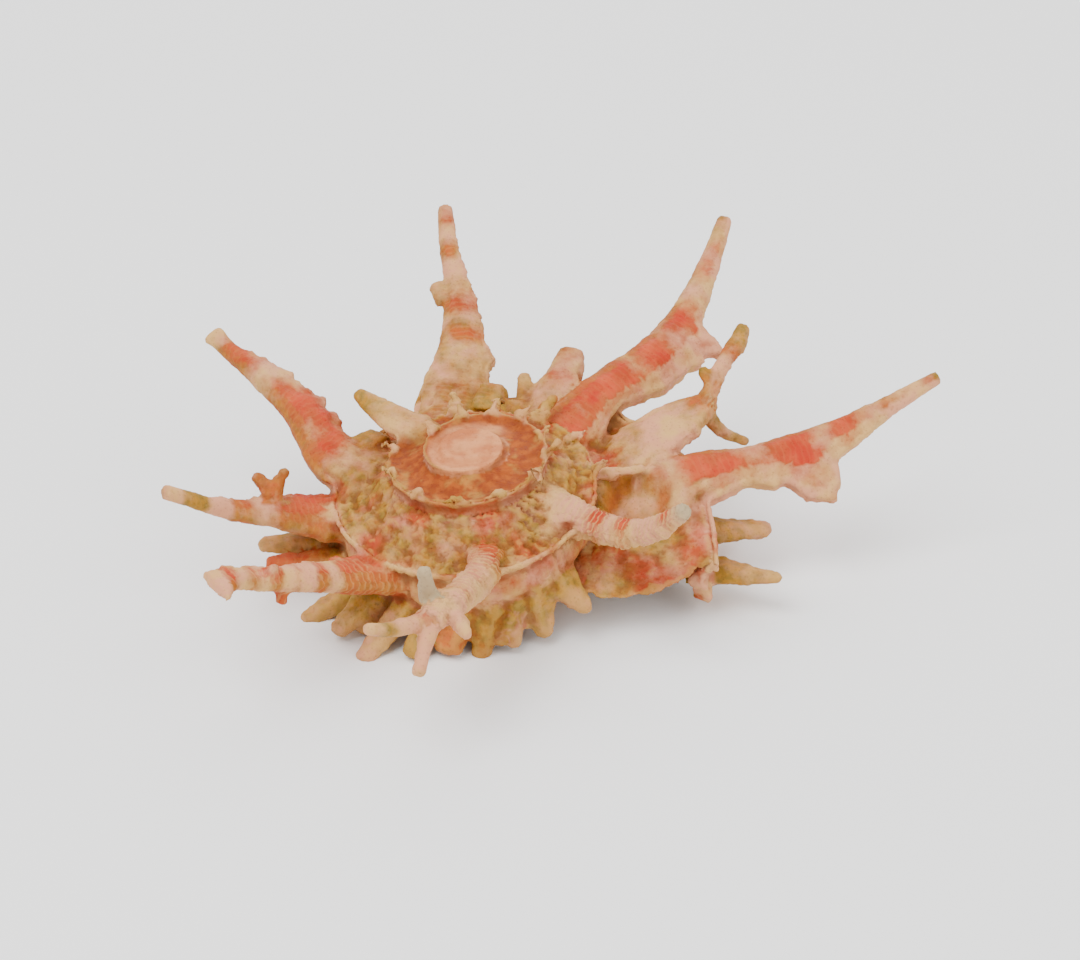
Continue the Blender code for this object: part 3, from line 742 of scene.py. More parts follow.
# tip, lean of the root along the whorl in degrees, height of the root, radii
LOWER_SPINES: tuple[tuple[tuple[float, float, float], float, float, float, float], ...] = (
    ((29.2, 2.6, 5.7), -2.0, -0.24, 1.8, 0.85),
    ((29.8, -4.6, 4.5), 2.0, -0.28, 2.0, 0.6),
    ((26.2, 8.6, 1.8), -2.0, -0.38, 1.5, 0.5),
    ((20.0, 13.6, 1.2), 0.0, -0.4, 1.5, 0.5),
    ((14.0, 18.4, 0.0), 0.0, -0.4, 1.5, 0.55),
    ((7.0, 20.4, 1.4), 0.0, -0.4, 1.5, 0.5),
    ((-0.4, 20.6, 0.0), 0.0, -0.4, 1.5, 0.55),
    ((-7.4, 19.2, 1.2), 0.0, -0.4, 1.4, 0.5),
    ((-13.4, 14.6, 0.0), 0.0, -0.4, 1.4, 0.55),
    ((-17.6, 9.2, 1.6), 0.0, -0.4, 1.4, 0.5),
    ((-21.8, 1.8, 4.3), 2.0, -0.36, 1.6, 0.8),
    ((-20.8, -0.9, 3.8), 6.0, -0.4, 1.3, 0.9),
    ((-17.15, -5.65, 0.0), 3.0, -0.46, 1.6, 0.8),
    ((-13.65, -9.75, 1.5), 0.0, -0.38, 1.8, 0.9),
    ((-11.45, -8.65, 1.0), 2.0, -0.4, 1.8, 0.9),
    ((-11.1, -12.5, 0.2), 6.0, -0.38, 1.6, 0.85),
    ((-6.25, -13.25, 1.2), 2.0, -0.42, 1.5, 0.9),
    ((-2.75, -12.65, 1.0), 0.0, -0.42, 1.9, 1.1),
    ((0.45, -12.05, 0.0), 0.0, -0.38, 1.9, 0.75),
    ((2.4, -11.8, 1.5), 4.0, -0.38, 1.3, 0.6),
    ((3.8, -11.8, 1.2), -2.0, -0.38, 1.3, 0.6),
    ((6.8, -10.2, 1.4), -5.0, -0.36, 2.1, 0.75),
    ((4.85, -9.95, 2.2), 0.0, -0.36, 1.2, 0.5),
    ((11.0, -9.8, 4.0), -8.0, -0.36, 2.0, 0.6),
    ((9.5, -9.2, 4.0), -6.0, -0.36, 1.4, 0.55),
)


# tips of lower spines that aren't straw-coloured, by their place in the row
LOWER_TIP_TINTS: dict[int, Tint] = {
    11: Tint.CORAL, 15: Tint.CREAM, 16: Tint.OCHRE, 17: Tint.RUST, 18: Tint.TAN, 19: Tint.TAN, 20: Tint.ROSE,
}


@dataclass
class TubeMesh:
    """Collects closed tubes and turns them into one mesh object."""

    points: list[Array] = field(default_factory=list)
    faces: list[tuple[int, ...]] = field(default_factory=list)
    count: int = 0

    def add(self, rings: Array) -> None:
        """Skin rings of equal length and cap both ends.

        Args:
            rings: Ring points in millimetres, ring by ring.
        """
        rows, size = rings.shape[:2]
        base = self.count
        self.points.append(rings.reshape(-1, 3))
        self.count += rows * size
        for row in range(rows - 1):
            near = base + row * size
            for index in range(size):
                other = (index + 1) % size
                self.faces.append((near + index, near + other, near + size + other, near + size + index))
        for start in (base, base + (rows - 1) * size):
            ring = rings.reshape(-1, 3)[start - base:start - base + size]
            self.points.append(ring.mean(axis=0)[None, :])
            for index in range(size):
                self.faces.append((start + index, start + (index + 1) % size, self.count))
            self.count += 1

    def finish(self, name: str, offset: tuple[float, float, float]) -> bpy.types.Object:
        """Turn the tubes into an object.

        Args:
            name: Name of the object.
            offset: Move of all tubes in millimetres.

        Returns:
            The object, linked to the scene.
        """
        points = (np.vstack(self.points) + np.array(offset)) * MM
        mesh = bpy.data.meshes.new(name)
        mesh.from_pydata(points.tolist(), [], self.faces)
        bm = bmesh.new()
        bm.from_mesh(mesh)
        bmesh.ops.recalc_face_normals(bm, faces=bm.faces)
        bm.to_mesh(mesh)
        bm.free()
        piece = bpy.data.objects.new(name, mesh)
        bpy.context.scene.collection.objects.link(piece)
        return piece


@dataclass
class Probe:
    """Finds what is known about the nearest samples of one family of tubes."""

    points: Array
    values: Array
    tree: kdtree.KDTree = field(init=False)

    def __post_init__(self) -> None:
        """Sort the samples for fast finding."""
        self.tree = kdtree.KDTree(len(self.points))
        for index, point in enumerate(self.points.tolist()):
            self.tree.insert(point, index)
        self.tree.balance()

    def read(self, places: Array, neighbours: int) -> tuple[Array, Array]:
        """Read the samples round many places.

        Args:
            places: Points in millimetres.
            neighbours: How many samples are blended.

        Returns:
            The gap to the nearest sample and the blended values.
        """
        gaps = np.empty(len(places))
        values = np.empty((len(places), self.values.shape[1]))
        for row, place in enumerate(places.tolist()):
            found = self.tree.find_n(place, neighbours)
            gaps[row] = found[0][2]
            weights = np.array([1.0 / (item[2] + 0.02) ** 2 for item in found])
            picked = self.values[[item[1] for item in found]]
            values[row] = (weights[:, None] * picked).sum(axis=0) / weights.sum()
        return gaps, values

    def nearest(self, places: Array) -> tuple[Array, Array]:
        """Read the one nearest sample of many places.

        Args:
            places: Points in millimetres.

        Returns:
            The gap to the nearest sample and its values.
        """
        find = self.tree.find
        found = [find(place) for place in places.tolist()]
        gaps = np.array([item[2] for item in found])
        return gaps, self.values[np.array([item[1] for item in found])]


@dataclass
class SoftNoise:
    """Repeatable soft noise between 0 and 1."""

    seed: int
    size: int = 24
    lattice: Array = field(init=False)

    def __post_init__(self) -> None:
        """Draw the values of the lattice."""
        self.lattice = np.random.default_rng(self.seed).random((self.size,) * 3)

    def at(self, places: Array, cell: float) -> Array:
        """Noise at many places.

        Args:
            places: Points in millimetres.
            cell: Size of a lump in millimetres.

        Returns:
            A value from 0 to 1 for each place.
        """
        scaled = places / cell + self.seed * 7.13
        low = np.floor(scaled).astype(int)
        part = scaled - low
        part = part * part * (3.0 - 2.0 * part)
        total = np.zeros(len(places))
        for corner in range(8):
            step = np.array((corner & 1, (corner >> 1) & 1, (corner >> 2) & 1))
            index = (low + step) % self.size
            weight = np.prod(np.where(step == 1, part, 1.0 - part), axis=1)
            total += weight * self.lattice[index[:, 0], index[:, 1], index[:, 2]]
        return total

    def lumps(self, places: Array, cell: float) -> Array:
        """Noise of three sizes, stretched to use the whole range."""
        mixed = (
            0.55 * self.at(places, cell)
            + 0.30 * self.at(places, cell * 0.5)
            + 0.15 * self.at(places, cell * 0.25)
        )
        return np.clip((mixed - 0.5) * 1.9 + 0.5, 0.0, 1.0)


@dataclass
class Growth:
    """The coil and all that grows from it."""

    coil: Coil = field(default_factory=Coil)
    offset: tuple[float, float, float] = (-8.1, -4.0, -0.4)
    base_spines_per_turn: int = 13
    knob_turns: tuple[float, ...] = (
        1.06, 1.13, 1.20, 1.27, 1.34, 1.50, 1.58, 1.67, 1.76, 1.85, 1.94, 2.03, 2.10, 2.18, 2.26, 2.34, 2.44,
    )
    knob_reaches: tuple[float, ...] = (
        1.6, 1.2, 2.2, 1.5, 1.8, 1.2, 0.7, 0.5, 0.4, 0.4, 1.2, 1.5, 1.1, 1.5, 1.3, 1.2, 0.9,
    )

    def lower_spines(self) -> list[ShortSpine]:
        """The row of spines low on the side wall and the short ones of the base."""
        spines = []
        for index, (tip, lean, level, root_radius, tip_radius) in enumerate(LOWER_SPINES):
            azimuth = math.degrees(math.atan2(tip[1], tip[0])) + lean
            turn = ((azimuth - self.coil.lip_azimuth) % 360.0) / 360.0
            if turn > 0.97:
                turn = turn - 1.0
            root = self.coil.surface(np.array(0.84), np.array(level), np.array(0.0), np.array(turn))
            tint = LOWER_TIP_TINTS.get(index, Tint.STRAW)
            spines.append(
                ShortSpine(tuple(root), tip, root_radius, tip_radius, 0.6, Tint.OCHRE, tint)
            )
        for index in range(self.base_spines_per_turn):
            turn = 0.16 + 0.80 * index / self.base_spines_per_turn
            near = self.coil.surface(np.array(0.66), np.array(-0.54), np.array(0.0), np.array(turn))
            far = self.coil.surface(np.array(0.70), np.array(-0.66), np.array(0.0), np.array(turn))
            far[2] = max(far[2], 0.4)
            spines.append(ShortSpine(tuple(near), tuple(far), 1.1, 0.55, 0.0, Tint.TAN, Tint.CREAM))
        return spines

    def knobs(self) -> list[ShortSpine]:
        """The knobs along the keel of the older whorls."""
        spines = []
        for turn, reach in zip(self.knob_turns, self.knob_reaches):
            near = self.coil.surface(np.array(0.93), np.array(-0.02), np.array(0.0), np.array(turn))
            far = self.coil.surface(np.array(1.0), np.array(0.0), np.array(0.0), np.array(turn))
            out = (far - near) * np.array((1.0, 1.0, 0.0))
            out = out / np.linalg.norm(out)
            tip = far + out * reach * 0.8 + np.array((0.0, 0.0, 0.7 * reach))
            spines.append(ShortSpine(tuple(near), tuple(tip), 0.70, 0.34))
        return spines

    def apex(self) -> ShortSpine:
        """The worn middle of the first whorls."""
        middle = self.coil.tilt(np.array((0.0, 0.0, -0.15)))
        low = self.coil.tilt(np.array((0.0, 0.0, -4.0)))
        return ShortSpine(tuple(low), tuple(middle), 0.6, 2.1)

    def solid(self) -> bpy.types.Object:
        """All growth as crossing tubes."""
        tubes = TubeMesh()
        tubes.add(self.coil.rings(1.0, self.coil.lip_start, self.coil.turns)[0])
        for spine in LONG_SPINES.values():
            tubes.add(spine.rings()[0])
        for spine in (*BARBS, *self.lower_spines(), *self.knobs(), self.apex()):
            tubes.add(spine.rings()[0])
        return tubes.finish("grown_shell", self.offset)

    def hollow(self) -> bpy.types.Object:
        """The hollow of the last whorl as a closed tube."""
        tubes = TubeMesh()
        first = self.coil.lip_start - 0.02
        tubes.add(self.coil.rings(self.coil.hollow_scale, first, self.coil.hollow_turns)[0])
        return tubes.finish("hollow_cutter", self.offset)


@dataclass
class Reading:
    """What each point of the skin knows about the growth it belongs to."""

    places: Array
    turn: Array
    across: Array
    age: Array
    coil_gap: Array
    spine_share: Array
    spine_reach: Array
    spine_length: Array
    spine_side: Array
    spine_index: Array
    short_share: Array
    short_shares: Array
    knob_share: Array
    hollow_share: Array
    apex_gap: Array


@dataclass
class SkinReader:
    """Reads for points of the skin which whorl, spine or knob they lie on."""

    growth: Growth
    fine_coil: Coil = field(default_factory=lambda: Coil(rings_per_turn=300))
    coil_probe: Probe = field(init=False)
    spine_probe: Probe = field(init=False)
    short_probe: Probe = field(init=False)
    knob_probe: Probe = field(init=False)
    hollow_probe: Probe = field(init=False)

    def __post_init__(self) -> None:
        """Take samples of every family of tubes."""
        coil = self.fine_coil
        first = coil.lip_start
        points, turns, across = coil.rings(1.0, first, coil.turns)
        ages = np.broadcast_to(
            np.linspace(first, coil.turns, points.shape[0])[:, None], turns.shape
        )
        values = np.stack((turns, across, ages), axis=-1)
        self.coil_probe = Probe(points.reshape(-1, 3), values.reshape(-1, 3))
        points = coil.rings(coil.hollow_scale, first - 0.02, coil.hollow_turns)[0]
        self.hollow_probe = Probe(points.reshape(-1, 3), np.zeros((points[..., 0].size, 1)))
        self.spine_probe = self.probe_long_spines()
        self.short_probe = self.probe_short_spines([*BARBS, *self.growth.lower_spines()])
        self.knob_probe = self.probe_short_spines(self.growth.knobs())

    @staticmethod
    def probe_long_spines() -> Probe:
        """Samples of the long spines: reach, length along, side and index."""
        points = []
        values = []
        for index, spine in enumerate(LONG_SPINES.values()):
            rings, reach, sides = spine.rings(spacing=0.14)
            length = spine.length()
            count, size = rings.shape[:2]
            points.append(rings.reshape(-1, 3))
            grid = np.empty((count, size, 4))
            grid[..., 0] = reach[:, None]
            grid[..., 1] = np.linspace(0.0, length, count)[:, None]
            grid[..., 2] = sides[None, :]
            grid[..., 3] = index
            values.append(grid.reshape(-1, 4))
        return Probe(np.vstack(points), np.vstack(values))

    @staticmethod
    def probe_short_spines(spines: list[ShortSpine]) -> Probe:
        """Samples of short spines with their colour shares."""
        points = []
        values = []
        for spine in spines:
            rings, places = spine.rings()
            points.append(rings.reshape(-1, 3))
            root = np.array(spine.root_tint.value)
            tip = np.array(spine.tip_tint.value)
            shares = root + (tip - root) * places[:, None]
            values.append(np.repeat(shares, rings.shape[1], axis=0))
        return Probe(np.vstack(points), np.vstack(values))

    def read(self, places: Array) -> Reading:
        """Read many points.

        Args:
            places: Points in millimetres, measured from the coil axis.

        Returns:
            What is known about each point.
        """
        coil_gap, coil = self.coil_probe.read(places, 4)
        spine_gap, spine = self.spine_probe.nearest(places)
        short_gap, short = self.short_probe.nearest(places)
        knob_gap, _ = self.knob_probe.nearest(places)
        hollow_gap, _ = self.hollow_probe.nearest(places)
        apex = self.growth.coil.tilt(np.array((0.0, 0.0, 0.0)))
        outer_gap = np.minimum(np.minimum(coil_gap, spine_gap), np.minimum(short_gap, knob_gap))
        hollow_share = smoothstep((0.45 - hollow_gap) / 0.2) * smoothstep((outer_gap - 0.35) / 0.3)
        hollow_share = hollow_share * smoothstep((coil[:, 2] - 0.055) / 0.02)
        spine_share = smoothstep((coil_gap - spine_gap + 0.6) / 1.6) * (1.0 - hollow_share)
        short_share = smoothstep((coil_gap - short_gap + 0.4) / 1.0) * (1.0 - hollow_share)
        short_share = short_share * smoothstep((spine_gap - short_gap + 0.5) / 1.0)
        knob_share = smoothstep((coil_gap - knob_gap + 0.5) / 0.9) * (1.0 - hollow_share)
        return Reading(
            places=places,
            turn=coil[:, 0],
            across=coil[:, 1],
            age=coil[:, 2],
            coil_gap=coil_gap,
            spine_share=spine_share,
            spine_reach=spine[:, 0],
            spine_length=spine[:, 1],
            spine_side=spine[:, 2],
            spine_index=spine[:, 3].astype(int),
            short_share=short_share,
            short_shares=short,
            knob_share=knob_share,
            hollow_share=hollow_share,
            apex_gap=np.linalg.norm((places - apex)[:, :2], axis=1),
        )


def spine_ringing(reading: Reading) -> Array:
    """How strongly the long spine at each point is ringed."""
    return np.array([spine.ringed for spine in LONG_SPINES.values()])[reading.spine_index]


@dataclass
class Relief:
    """Height of the sculpture over the plain skin, in millimetres."""

    coil: Coil
    cords: float = 24.0
    cord_height: float = 0.22
    scale_pitch: float = 1.3
    lump_height: float = 0.62
    fold_pitch: float = 1.05
    fold_height: float = 0.16
    ring_height: float = 0.10
    ring_pitch: float = 0.62
    frill_height: float = 0.45
    rim_cut: float = 0.95
    furrow_depth: float = 0.55
    furrow_pitch: float = 1.5
    furrow_turns: tuple[float, float] = (0.86, 0.98)
    stripe_pitch: float = 2.3
    stripe_height: float = 0.03
    edge_cut: float = 0.30
    edge_lumps: float = 1.1
    age_turns: tuple[float, ...] = (-0.10, 0.05, 0.20, 1.05, 1.16, 1.40, 2.10, 2.45, 4.60)
    age_roughness: tuple[float, ...] = (0.35, 0.55, 0.95, 1.00, 0.55, 0.20, 0.18, 0.08, 0.04)

    def growth_length(self, age: Array) -> Array:
        """Length along the keel from the lip, in millimetres."""
        rate = math.log(self.coil.whorl_growth)
        return self.coil.keel_radius * math.tau * (1.0 - self.coil.whorl_growth ** -age) / rate

    def whorl(self, reading: Reading, lumps: Array, small: Array, slow: Array) -> Array:
        """Relief of the whorls.

        Args:
            reading: What is known about the points.
            lumps: Noise of the larger lumps, from -0.5 to 0.5.
            small: Noise of the smaller lumps.
            slow: Noise that wanders slowly.

        Returns:
            Heights in millimetres.
        """
        along = self.growth_length(reading.age)
        phase = reading.across * self.cords + 0.9 * slow
        row = np.floor(phase).astype(int)
        ridge = 0.5 - 0.5 * np.cos(math.tau * phase)
        starts = np.random.default_rng(5).random(64)
        scale = (along / self.scale_pitch + starts[row % 64] + 1.6 * lumps) % 1.0
        scale = np.where(scale < 0.75, scale / 0.75, (1.0 - scale) / 0.25)
        cords = ridge * (0.25 + 0.75 * scale)
        roughness = np.interp(reading.turn, self.age_turns, self.age_roughness)
        ramp = smoothstep((0.34 - reading.across) / 0.06)
        wall = 1.0 - ramp
        folds = np.abs(np.sin(along * math.pi / self.fold_pitch + 3.0 * slow))
        folding = smoothstep((slow + 0.15) / 0.4)
        height = roughness * (
            self.cord_height * cords * (0.25 + 0.75 * ramp)
            + self.lump_height * lumps * (0.9 * ramp + 0.3 * wall)
            + (0.35 * ramp + 0.12 * wall) * small
            + self.fold_height * (folds - 0.6) * folding * (0.6 + 0.4 * wall)
        )
        lines = 0.5 + 0.5 * np.sin(along * math.tau / 0.55 + 2.0 * lumps)
        height = height + 0.035 * lines * smoothstep((1.25 - reading.turn) / 0.1)
        first, last = self.furrow_turns
        window = smoothstep((reading.turn - first) / 0.03) * smoothstep((last - reading.turn) / 0.03)
        furrow = (1.0 - np.abs(np.sin(along * math.pi / self.furrow_pitch + 2.5 * lumps))) ** 2
        height = height - self.furrow_depth * furrow * window * ramp
        in_dish = smoothstep((reading.turn - 1.15) / 0.15) * smoothstep((2.2 - reading.turn) / 0.1)
        stripes = np.sin(along * math.tau / self.stripe_pitch + 3.0 * slow)
        height = height + self.stripe_height * stripes * in_dish * ramp
        rim = np.exp(-(((reading.across - 0.275) / 0.045) ** 2))
        height = height - self.rim_cut * rim * smoothstep((1.15 - reading.turn) / 0.15)
        edge = np.exp(-(((reading.across - 0.30) / 0.045) ** 2)) * smoothstep((reading.turn - 1.15) / 0.1)
        edge = edge * smoothstep((2.2 - reading.turn) / 0.2)
        height = height + edge * (self.edge_lumps * (lumps + 0.8 * small) - self.edge_cut)
        lip = smoothstep((0.085 - reading.age) / 0.05) * wall
        return height + 0.22 * lip * (ridge - 0.5)

    def long_spines(self, reading: Reading, lumps: Array, small: Array) -> Array:
        """Relief of the long spines, in millimetres."""
        bowed = reading.spine_length + 0.7 * reading.spine_side ** 2 + 0.5 * lumps
        rings = 0.5 + 0.5 * np.cos(bowed * math.tau / self.ring_pitch)
        ringed = spine_ringing(reading)
        fade = smoothstep((1.0 - reading.spine_reach) / 0.25)
        frilled = np.array([spine.frilled for spine in LONG_SPINES.values()])[reading.spine_index]
        frill = smoothstep((reading.spine_side - 0.75) / 0.2) * frilled
        return (
            self.ring_height * (rings - 0.4) * ringed
            + 0.10 * small * (0.35 + 0.65 * fade)
            + 0.16 * lumps * fade
            + self.frill_height * frill * fade * (lumps + small)
        )

    def height(self, reading: Reading, rough: SoftNoise, fine: SoftNoise) -> Array:
        """Relief of every point of the skin.

        Args:
            reading: What is known about the points.
            rough: Noise of the larger lumps.
            fine: Noise of the smaller lumps.

        Returns:
            Heights in millimetres, positive outward.
        """
        lumps = rough.lumps(reading.places, 1.5) - 0.5
        small = fine.lumps(reading.places, 0.7) - 0.5
        slow = rough.lumps(reading.places, 5.0) - 0.5
        share = reading.spine_share
        height = self.whorl(reading, lumps, small, slow) * (1.0 - share)
        height = height + self.long_spines(reading, lumps, small) * share
        short = 0.22 * small + 0.16 * lumps
        height = height * (1.0 - reading.short_share) + short * reading.short_share
        height = height + reading.knob_share * (0.45 * lumps + 0.35 * small) * (1.0 - share)
        disk = smoothstep((4.4 - reading.apex_gap) / 0.8) * smoothstep((reading.turn - 2.2) / 0.3)
        height = height * (1.0 - 0.95 * disk)
        inside = reading.hollow_share
        lines = 0.5 + 0.5 * np.sin(self.growth_length(reading.age) * math.tau / 0.9)
        return height * (1.0 - inside) + 0.02 * (lines - 0.5) * inside


@dataclass
class ColourMap:
    """Where the skin is coral, cream or ochre."""

    def masks(self, reading: Reading) -> dict[str, Array]:
        """Colour masks of every point.

        Args:
            reading: What is known about the points.

        Returns:
            Shares from 0 to 1 by name: coral, cream, ochre, chalk, dish and disk.
        """
        turn = reading.turn
        across = reading.across
        patches = SoftNoise(21).lumps(reading.places, 4.0)
        spots = SoftNoise(33).lumps(reading.places, 2.2)
        ramp = smoothstep((0.33 - across) / 0.08)
        wall = smoothstep((across - 0.27) / 0.06) * smoothstep((0.72 - across) / 0.10)
        base = smoothstep((across - 0.62) / 0.10)
        near_lip = smoothstep((0.34 - turn) / 0.16)
        coral = ramp * (0.10 + 0.55 * smoothstep((patches - 0.50) / 0.3))
        fresh = smoothstep((0.60 - turn) / 0.2)
        coral = coral + wall * (0.66 - 0.50 * spots) * (1.0 - 0.5 * fresh)
        coral = coral + base * 0.35
        cream = ramp * (0.12 + 0.35 * spots)
        cream = cream + wall * (0.22 + 0.35 * fresh + 0.50 * spots) + base * 0.35
        keel_band = np.exp(-(((across - 0.30) / 0.05) ** 2)) * smoothstep((1.05 - turn) / 0.1)
        cream = cream + 0.65 * keel_band * smoothstep((spots - 0.30) / 0.3)
        ochre = ramp * (0.25 + 0.65 * smoothstep((0.62 - patches) / 0.3)) + base * 0.45
        lip_coral = 0.06 + 0.60 * smoothstep((spots - 0.62) / 0.16)
        side = 1.0 - ramp
        coral = coral + (lip_coral - coral) * near_lip * side
        cream = cream + (0.95 - 0.8 * lip_coral - cream) * near_lip * side
        ochre = ochre * (1.0 - 0.8 * near_lip * side)
        dish = smoothstep((turn - 1.18) / 0.18) * smoothstep((0.26 - across) / 0.05)
        disk = smoothstep((4.9 - reading.apex_gap) / 0.5) * smoothstep((turn - 2.12) / 0.15)
        disk = np.maximum(disk, smoothstep((3.0 - reading.apex_gap) / 0.5))
        coral = coral * (1.0 - dish)
        cream = cream * (1.0 - 0.8 * dish)
        ochre = ochre * (1.0 - dish)
        edge = np.exp(-(((across - 0.30) / 0.035) ** 2)) * smoothstep((turn - 1.15) / 0.1)
        edge = edge * smoothstep((2.3 - turn) / 0.2)
        cream = np.maximum(cream, edge * smoothstep((spots - 0.52) / 0.2))
        coral = np.maximum(coral, 0.6 * edge * smoothstep((0.45 - spots) / 0.2))
        knob = reading.knob_share
        cream = cream + (0.20 + 0.75 * spots - cream) * knob
        coral = coral * (1.0 - 0.7 * knob)
        ochre = ochre + (0.80 - 0.5 * spots - ochre) * knob
        shares = np.stack((coral, cream, ochre, np.zeros_like(coral)), axis=-1)
        long_shares = self.spine_shares(reading)
        weight = reading.spine_share[:, None]
        shares = shares * (1.0 - weight) + long_shares * weight
        weight = reading.short_share[:, None]
        shares = shares * (1.0 - weight) + reading.short_shares * weight
        shares = np.clip(shares, 0.0, 1.0)
        open_skin = (1.0 - reading.spine_share) * (1.0 - reading.short_share) * (1.0 - knob)
        return {
            "coral": shares[:, 0],
            "cream": shares[:, 1],
            "ochre": shares[:, 2],
            "chalk": shares[:, 3],
            "dish": dish * open_skin,
            "disk": disk * open_skin,
        }

    @staticmethod
    def spine_shares(reading: Reading) -> Array:
        """Colour shares along the long spines."""
        shares = np.zeros((len(reading.places), 4))
        for index, spine in enumerate(LONG_SPINES.values()):
            chosen = reading.spine_index == index
            if not chosen.any():
                continue
            stops = np.array([stop for stop, _ in spine.tints])
            for column in range(4):
                levels = [tint.value[column] for _, tint in spine.tints]
                shares[chosen, column] = np.interp(reading.spine_reach[chosen], stops, levels)
            side = reading.spine_side[chosen]
            pale = spine.pale_edge * smoothstep((side - 0.35) / 0.4)
            shares[chosen, 0] *= 1.0 - 0.85 * pale
            shares[chosen, 1] = shares[chosen, 1] * (1.0 - pale) + 0.85 * pale
            rind = smoothstep((-side - 0.60) / 0.3)
            shares[chosen, 0] *= 1.0 - 0.55 * rind
            shares[chosen, 2] = np.maximum(shares[chosen, 2], 0.75 * rind)
        patches = SoftNoise(41).lumps(reading.places, 3.0) - 0.5
        shares[:, 0] = shares[:, 0] * (0.86 - 0.9 * np.clip(patches, -0.1, 0.8))
        shares[:, 1] = shares[:, 1] + 0.8 * np.clip(patches, 0.0, 1.0)
        return shares


@dataclass(frozen=True)
class Bowl:
    """The shallow bowl in the ramp beside the east spine, in millimetres."""

    centre: tuple[float, float] = (15.7, 0.7)
    half_widths: tuple[float, float] = (3.7, 3.6)
    depth: float = 1.7
    wall: float = 0.40
    levels: tuple[float, float] = (4.0, 7.0)
    tops: tuple[float, float] = (11.6, 12.1)

    def reach(self, points: Array) -> Array:
        """Distance from the middle of the bowl, 1 at its edge."""
        across = (points[:, 0] - self.centre[0]) / self.half_widths[0]
        along = (points[:, 1] - self.centre[1]) / self.half_widths[1]
        return np.hypot(across, along)

    def share(self, points: Array) -> Array:
        """How far each point belongs to the bowl."""
        inside = smoothstep((1.0 - self.reach(points)) / self.wall)
        low, high = self.levels
        under, over = self.tops
        inside = inside * smoothstep((points[:, 2] - low) / (high - low))
        return inside * smoothstep((over - points[:, 2]) / (over - under))

    def press(self, points: Array) -> Array:
        """Sink points into the bowl."""
        sunk = points.copy()
        sunk[:, 2] -= self.depth * self.share(points)
        return sunk


